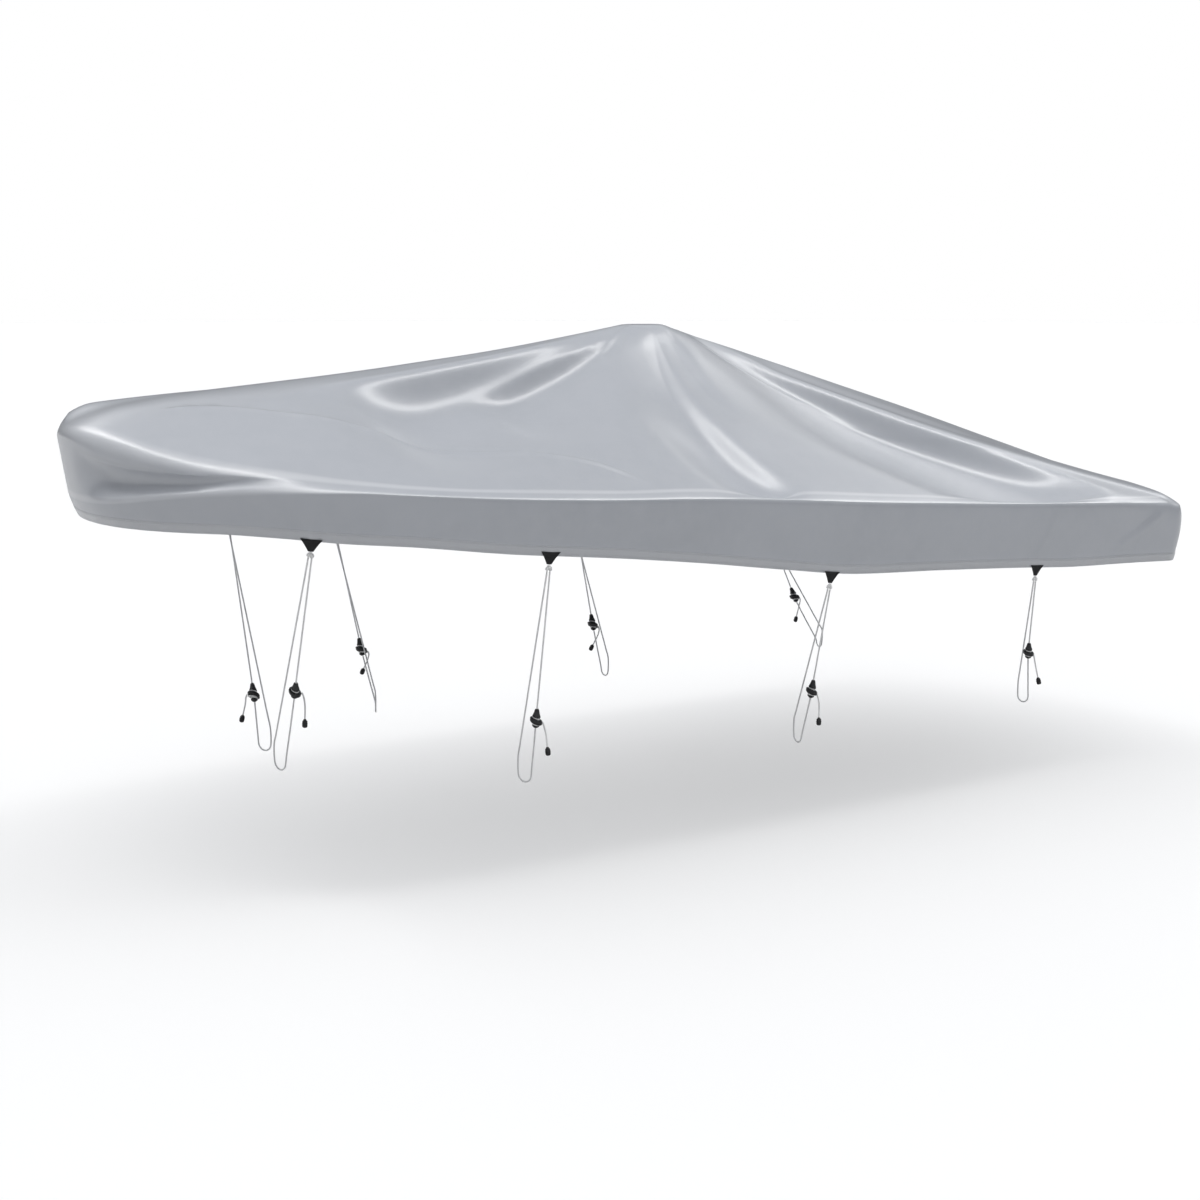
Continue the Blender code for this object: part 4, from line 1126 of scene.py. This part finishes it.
def build_tab(name, c, along, up, out, lap):
    na, nb = 25, 17

    def surf(a, b, face):
        half = TAB_W / 2 + (TAB_TIP_W / 2 - TAB_W / 2) * b
        half -= 0.0012 * math.sin(math.pi * b)
        z = lap - b * TAB_H
        z -= 0.0010 * (1 - a * a) * (1 - b) - 0.0006 * a * a * b
        lift = 0.0014 * smooth((z + 0.006) / 0.008) + 0.0008 * a * a * (1 - b)
        lift += 0.0005 * math.sin(5.0 * a + 1.0) * math.sin(math.pi * b)
        edge = min((1 - abs(a)) * half, (1 - b) * TAB_H, b * TAB_H)
        thick = TAB_T / 2 * (0.62 + 0.38 * float(smooth(edge / 0.0016)))
        if (1 - abs(a)) * half < 0.0065:
            thick += 0.0003
        return c + along * a * half + up * z + out * (lift + face * thick)

    verts, uv_at = [], []
    for face in (1, -1):
        for i in range(nb):
            for j in range(na):
                a, b = -1 + 2 * j / (na - 1), i / (nb - 1)
                verts.append(surf(a, b, face))
                half = TAB_W / 2 + (TAB_TIP_W / 2 - TAB_W / 2) * b
                uv_at.append((a * half, b * TAB_H))
    faces = []
    m = na * nb
    for i in range(nb - 1):
        for j in range(na - 1):
            q = (i * na + j, (i + 1) * na + j, (i + 1) * na + j + 1, i * na + j + 1)
            faces.append(q)
            faces.append(tuple(x + m for x in reversed(q)))
    rim = [j for j in range(na)] + [(i + 1) * na - 1 for i in range(1, nb)]
    rim += [(nb - 1) * na + j for j in range(na - 2, -1, -1)] + [i * na for i in range(nb - 2, 0, -1)]
    for a, b in zip(rim, rim[1:] + rim[:1]):
        faces.append((a, b, b + m, a + m))
    uv = [uv_at[v] for f in faces for v in f]
    tab = mesh_piece("tab_web_" + name, verts, faces, WEB, 50, uv, "web")
    # two rows of stitches across the lap, one down each slanted side
    pts, dirs = [], []
    for z in (0.0030, 0.0075):
        b = z / TAB_H
        half = TAB_W / 2 + (TAB_TIP_W / 2 - TAB_W / 2) * b
        for k in range(23):
            a = (-1 + 2 * (k + 0.5) / 23) * (1 - 0.004 / half)
            pts.append(surf(a, b, 1) + out * 0.0002)
            dirs.append(along)
    for sgn in (-1, 1):
        for k in range(12):
            b = 0.20 + 0.72 * k / 11
            half = TAB_W / 2 + (TAB_TIP_W / 2 - TAB_W / 2) * b
            a = sgn * (1 - 0.0045 / half)
            p = surf(a, b, 1)
            q = surf(sgn * (1 - 0.0045 / (half - 0.001)), b + 0.02, 1)
            pts.append(p + out * 0.0002)
            dirs.append(q - p)
    v, f = stitch_mesh(pts, dirs, [out] * len(pts), 0.0028, 0.0008, 0.0005)
    thread = mesh_piece("tab_stitching_" + name, v, f, DARK_THREAD, 60)
    return tab, thread


def build_tie(name, s, lap, top_point, outer, inner, side, tail_end):
    H, along, up, out = hem_frame(s)
    c = H + out * (GAP + TAB_T / 2 + 0.0006)
    tab, thread = build_tab(name, c, along, up, out, lap)
    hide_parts("tab_" + name)
    # knot: the rope doubled up to the tip of the tab, with two turns taken round it
    tip = c + up * (lap - TAB_H - GAP)
    T0 = V(top_point)
    down = unit(T0 - tip)
    wide = unit(along - down * np.dot(along, down))
    deep = np.cross(down, wide)
    if np.dot(deep, out) < 0:
        deep = -deep
    tip = tip + down * (0.5 * KNOT_TOP + 0.0010)
    parts = []
    bight = []
    for k in range(17):
        g = math.pi * k / 16
        bight.append(tip + down * (0.0062 - 0.0040 * math.sin(g)) - wide * STRAND * math.cos(g) * 0.85)
    bight = [tip + down * KNOT_H - wide * STRAND] + [tip + down * 0.016 - wide * STRAND] + bight
    bight += [tip + down * 0.016 + wide * STRAND, tip + down * KNOT_H + wide * STRAND]
    parts.append(tube_mesh(bight, 0.0031, 12))
    turns = []
    for k in range(61):
        f = k / 60
        g = 2 * math.pi * 2.15 * f + 0.6
        a = 0.0086 + 0.0035 * min(1.0, f * 1.35)
        b = 0.0050 + 0.0014 * min(1.0, f * 1.35)
        turns.append(tip + down * (0.0080 + 0.0125 * f) + wide * a * math.cos(g) + deep * b * math.sin(g))
    parts.append(tube_mesh(turns, 0.0029, 12))
    v, f, q = join(parts)
    knot = mesh_piece("rope_knot_" + name, v, f, ROPE, 60, q, "rope")
    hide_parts("knot_" + name)

    right = along if along[0] > 0 else -along
    foot = tip + down * (KNOT_H + 0.0026)
    hang = unit(T0 - foot)
    axis = unit(hang * 0.75 + unit(V((outer[0], outer[1], RAIL_BOTTOM)) - T0) * 0.25)
    ex = V((1.0, 0.0, 0.0))
    ex = unit(ex - axis * np.dot(axis, ex))
    ey = np.cross(axis, ex)

    def ribs(dist, g):
        if 0.0465 < dist < 0.0645:
            return 1.0 + 0.018 * math.cos(18 * g)
        if dist < 0.034:
            return 1.0 + 0.012 * math.cos(10 * g) * dist / 0.034
        return 1.0

    v, f = lathe(BODY, T0, axis, ex, ey, 54, TILT, ribs)
    body = mesh_piece("tensioner_body_" + name, v, f, PLASTIC, 38)
    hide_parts("tensioner_" + name)

    def wrap(dist, radius, tilt, turns, start, climb, end_out=None):
        tn = math.tan(math.radians(tilt))
        pts = []
        n = int(26 * turns)
        for k in range(n + 1):
            f = k / n
            g = start + 2 * math.pi * turns * f
            r = radius
            if end_out is not None:
                r = radius + (end_out - radius) * float(smooth((f - 0.72) / 0.28))
            pts.append(T0 + axis * (dist + climb * (f - 0.5)) + (ex * math.cos(g) + ey * math.sin(g)) * r
                       + axis * r * math.cos(g) * tn)
        return pts

    first = wrap(0.0408, 0.0136, 19, 1.15, 0.8, 0.0026)
    finish_at = 0.0 if side > 0 else math.pi
    second = wrap(0.0692, 0.0130, 15, 1.55, finish_at - 2 * math.pi * 1.55, -0.002, 0.0262)
    v, f, q = join([tube_mesh(first, 0.0028, 10), tube_mesh(second, 0.0028, 10)])
    turns_ob = mesh_piece("rope_turns_" + name, v, f, ROPE, 60, q, "rope")

    a = foot + right * STRAND
    b = T0 - axis * 0.0012
    path = [lerp(a, b, k / 24) for k in range(25)]
    hanger = rope_piece("rope_hanger_" + name, path)
    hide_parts("hanger_" + name)

    end = T0 + axis * (TENSIONER_H + 0.0026)
    path = loop_route(foot - right * STRAND, outer, inner, end)
    loop = rope_piece("rope_loop_" + name, path)
    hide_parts("loop_" + name)

    w = side * (0.0262 + ROPE_D / 2)
    p0 = T0 + axis * (0.060 + 0.009 * side) + ex * w
    end = V(tail_end)
    drop = p0[2] - end[2]
    pts = [p0, p0 + V((side * 0.006, 0, -0.014)),
           V((p0[0] + side * 0.007, (p0[1] * 2 + end[1]) / 3, p0[2] - drop * 0.45)), end]
    path = through(pts, [6, 9, 9])
    tail = rope_piece("rope_tail_" + name, path)
    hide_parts("tail_" + name)
    fall = unit(path[-1] - path[-2])
    cx = unit(V((1.0, 0, 0)) - fall * fall[0])
    cy = np.cross(fall, cx)
    v, f = lathe(CAP, end + fall * GAP, fall, cx, cy, 28)
    cap = mesh_piece("cap_" + name, v, f, RUBBER, 38)
    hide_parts("end_cap_" + name)


for row in TIES:
    build_tie(*row)
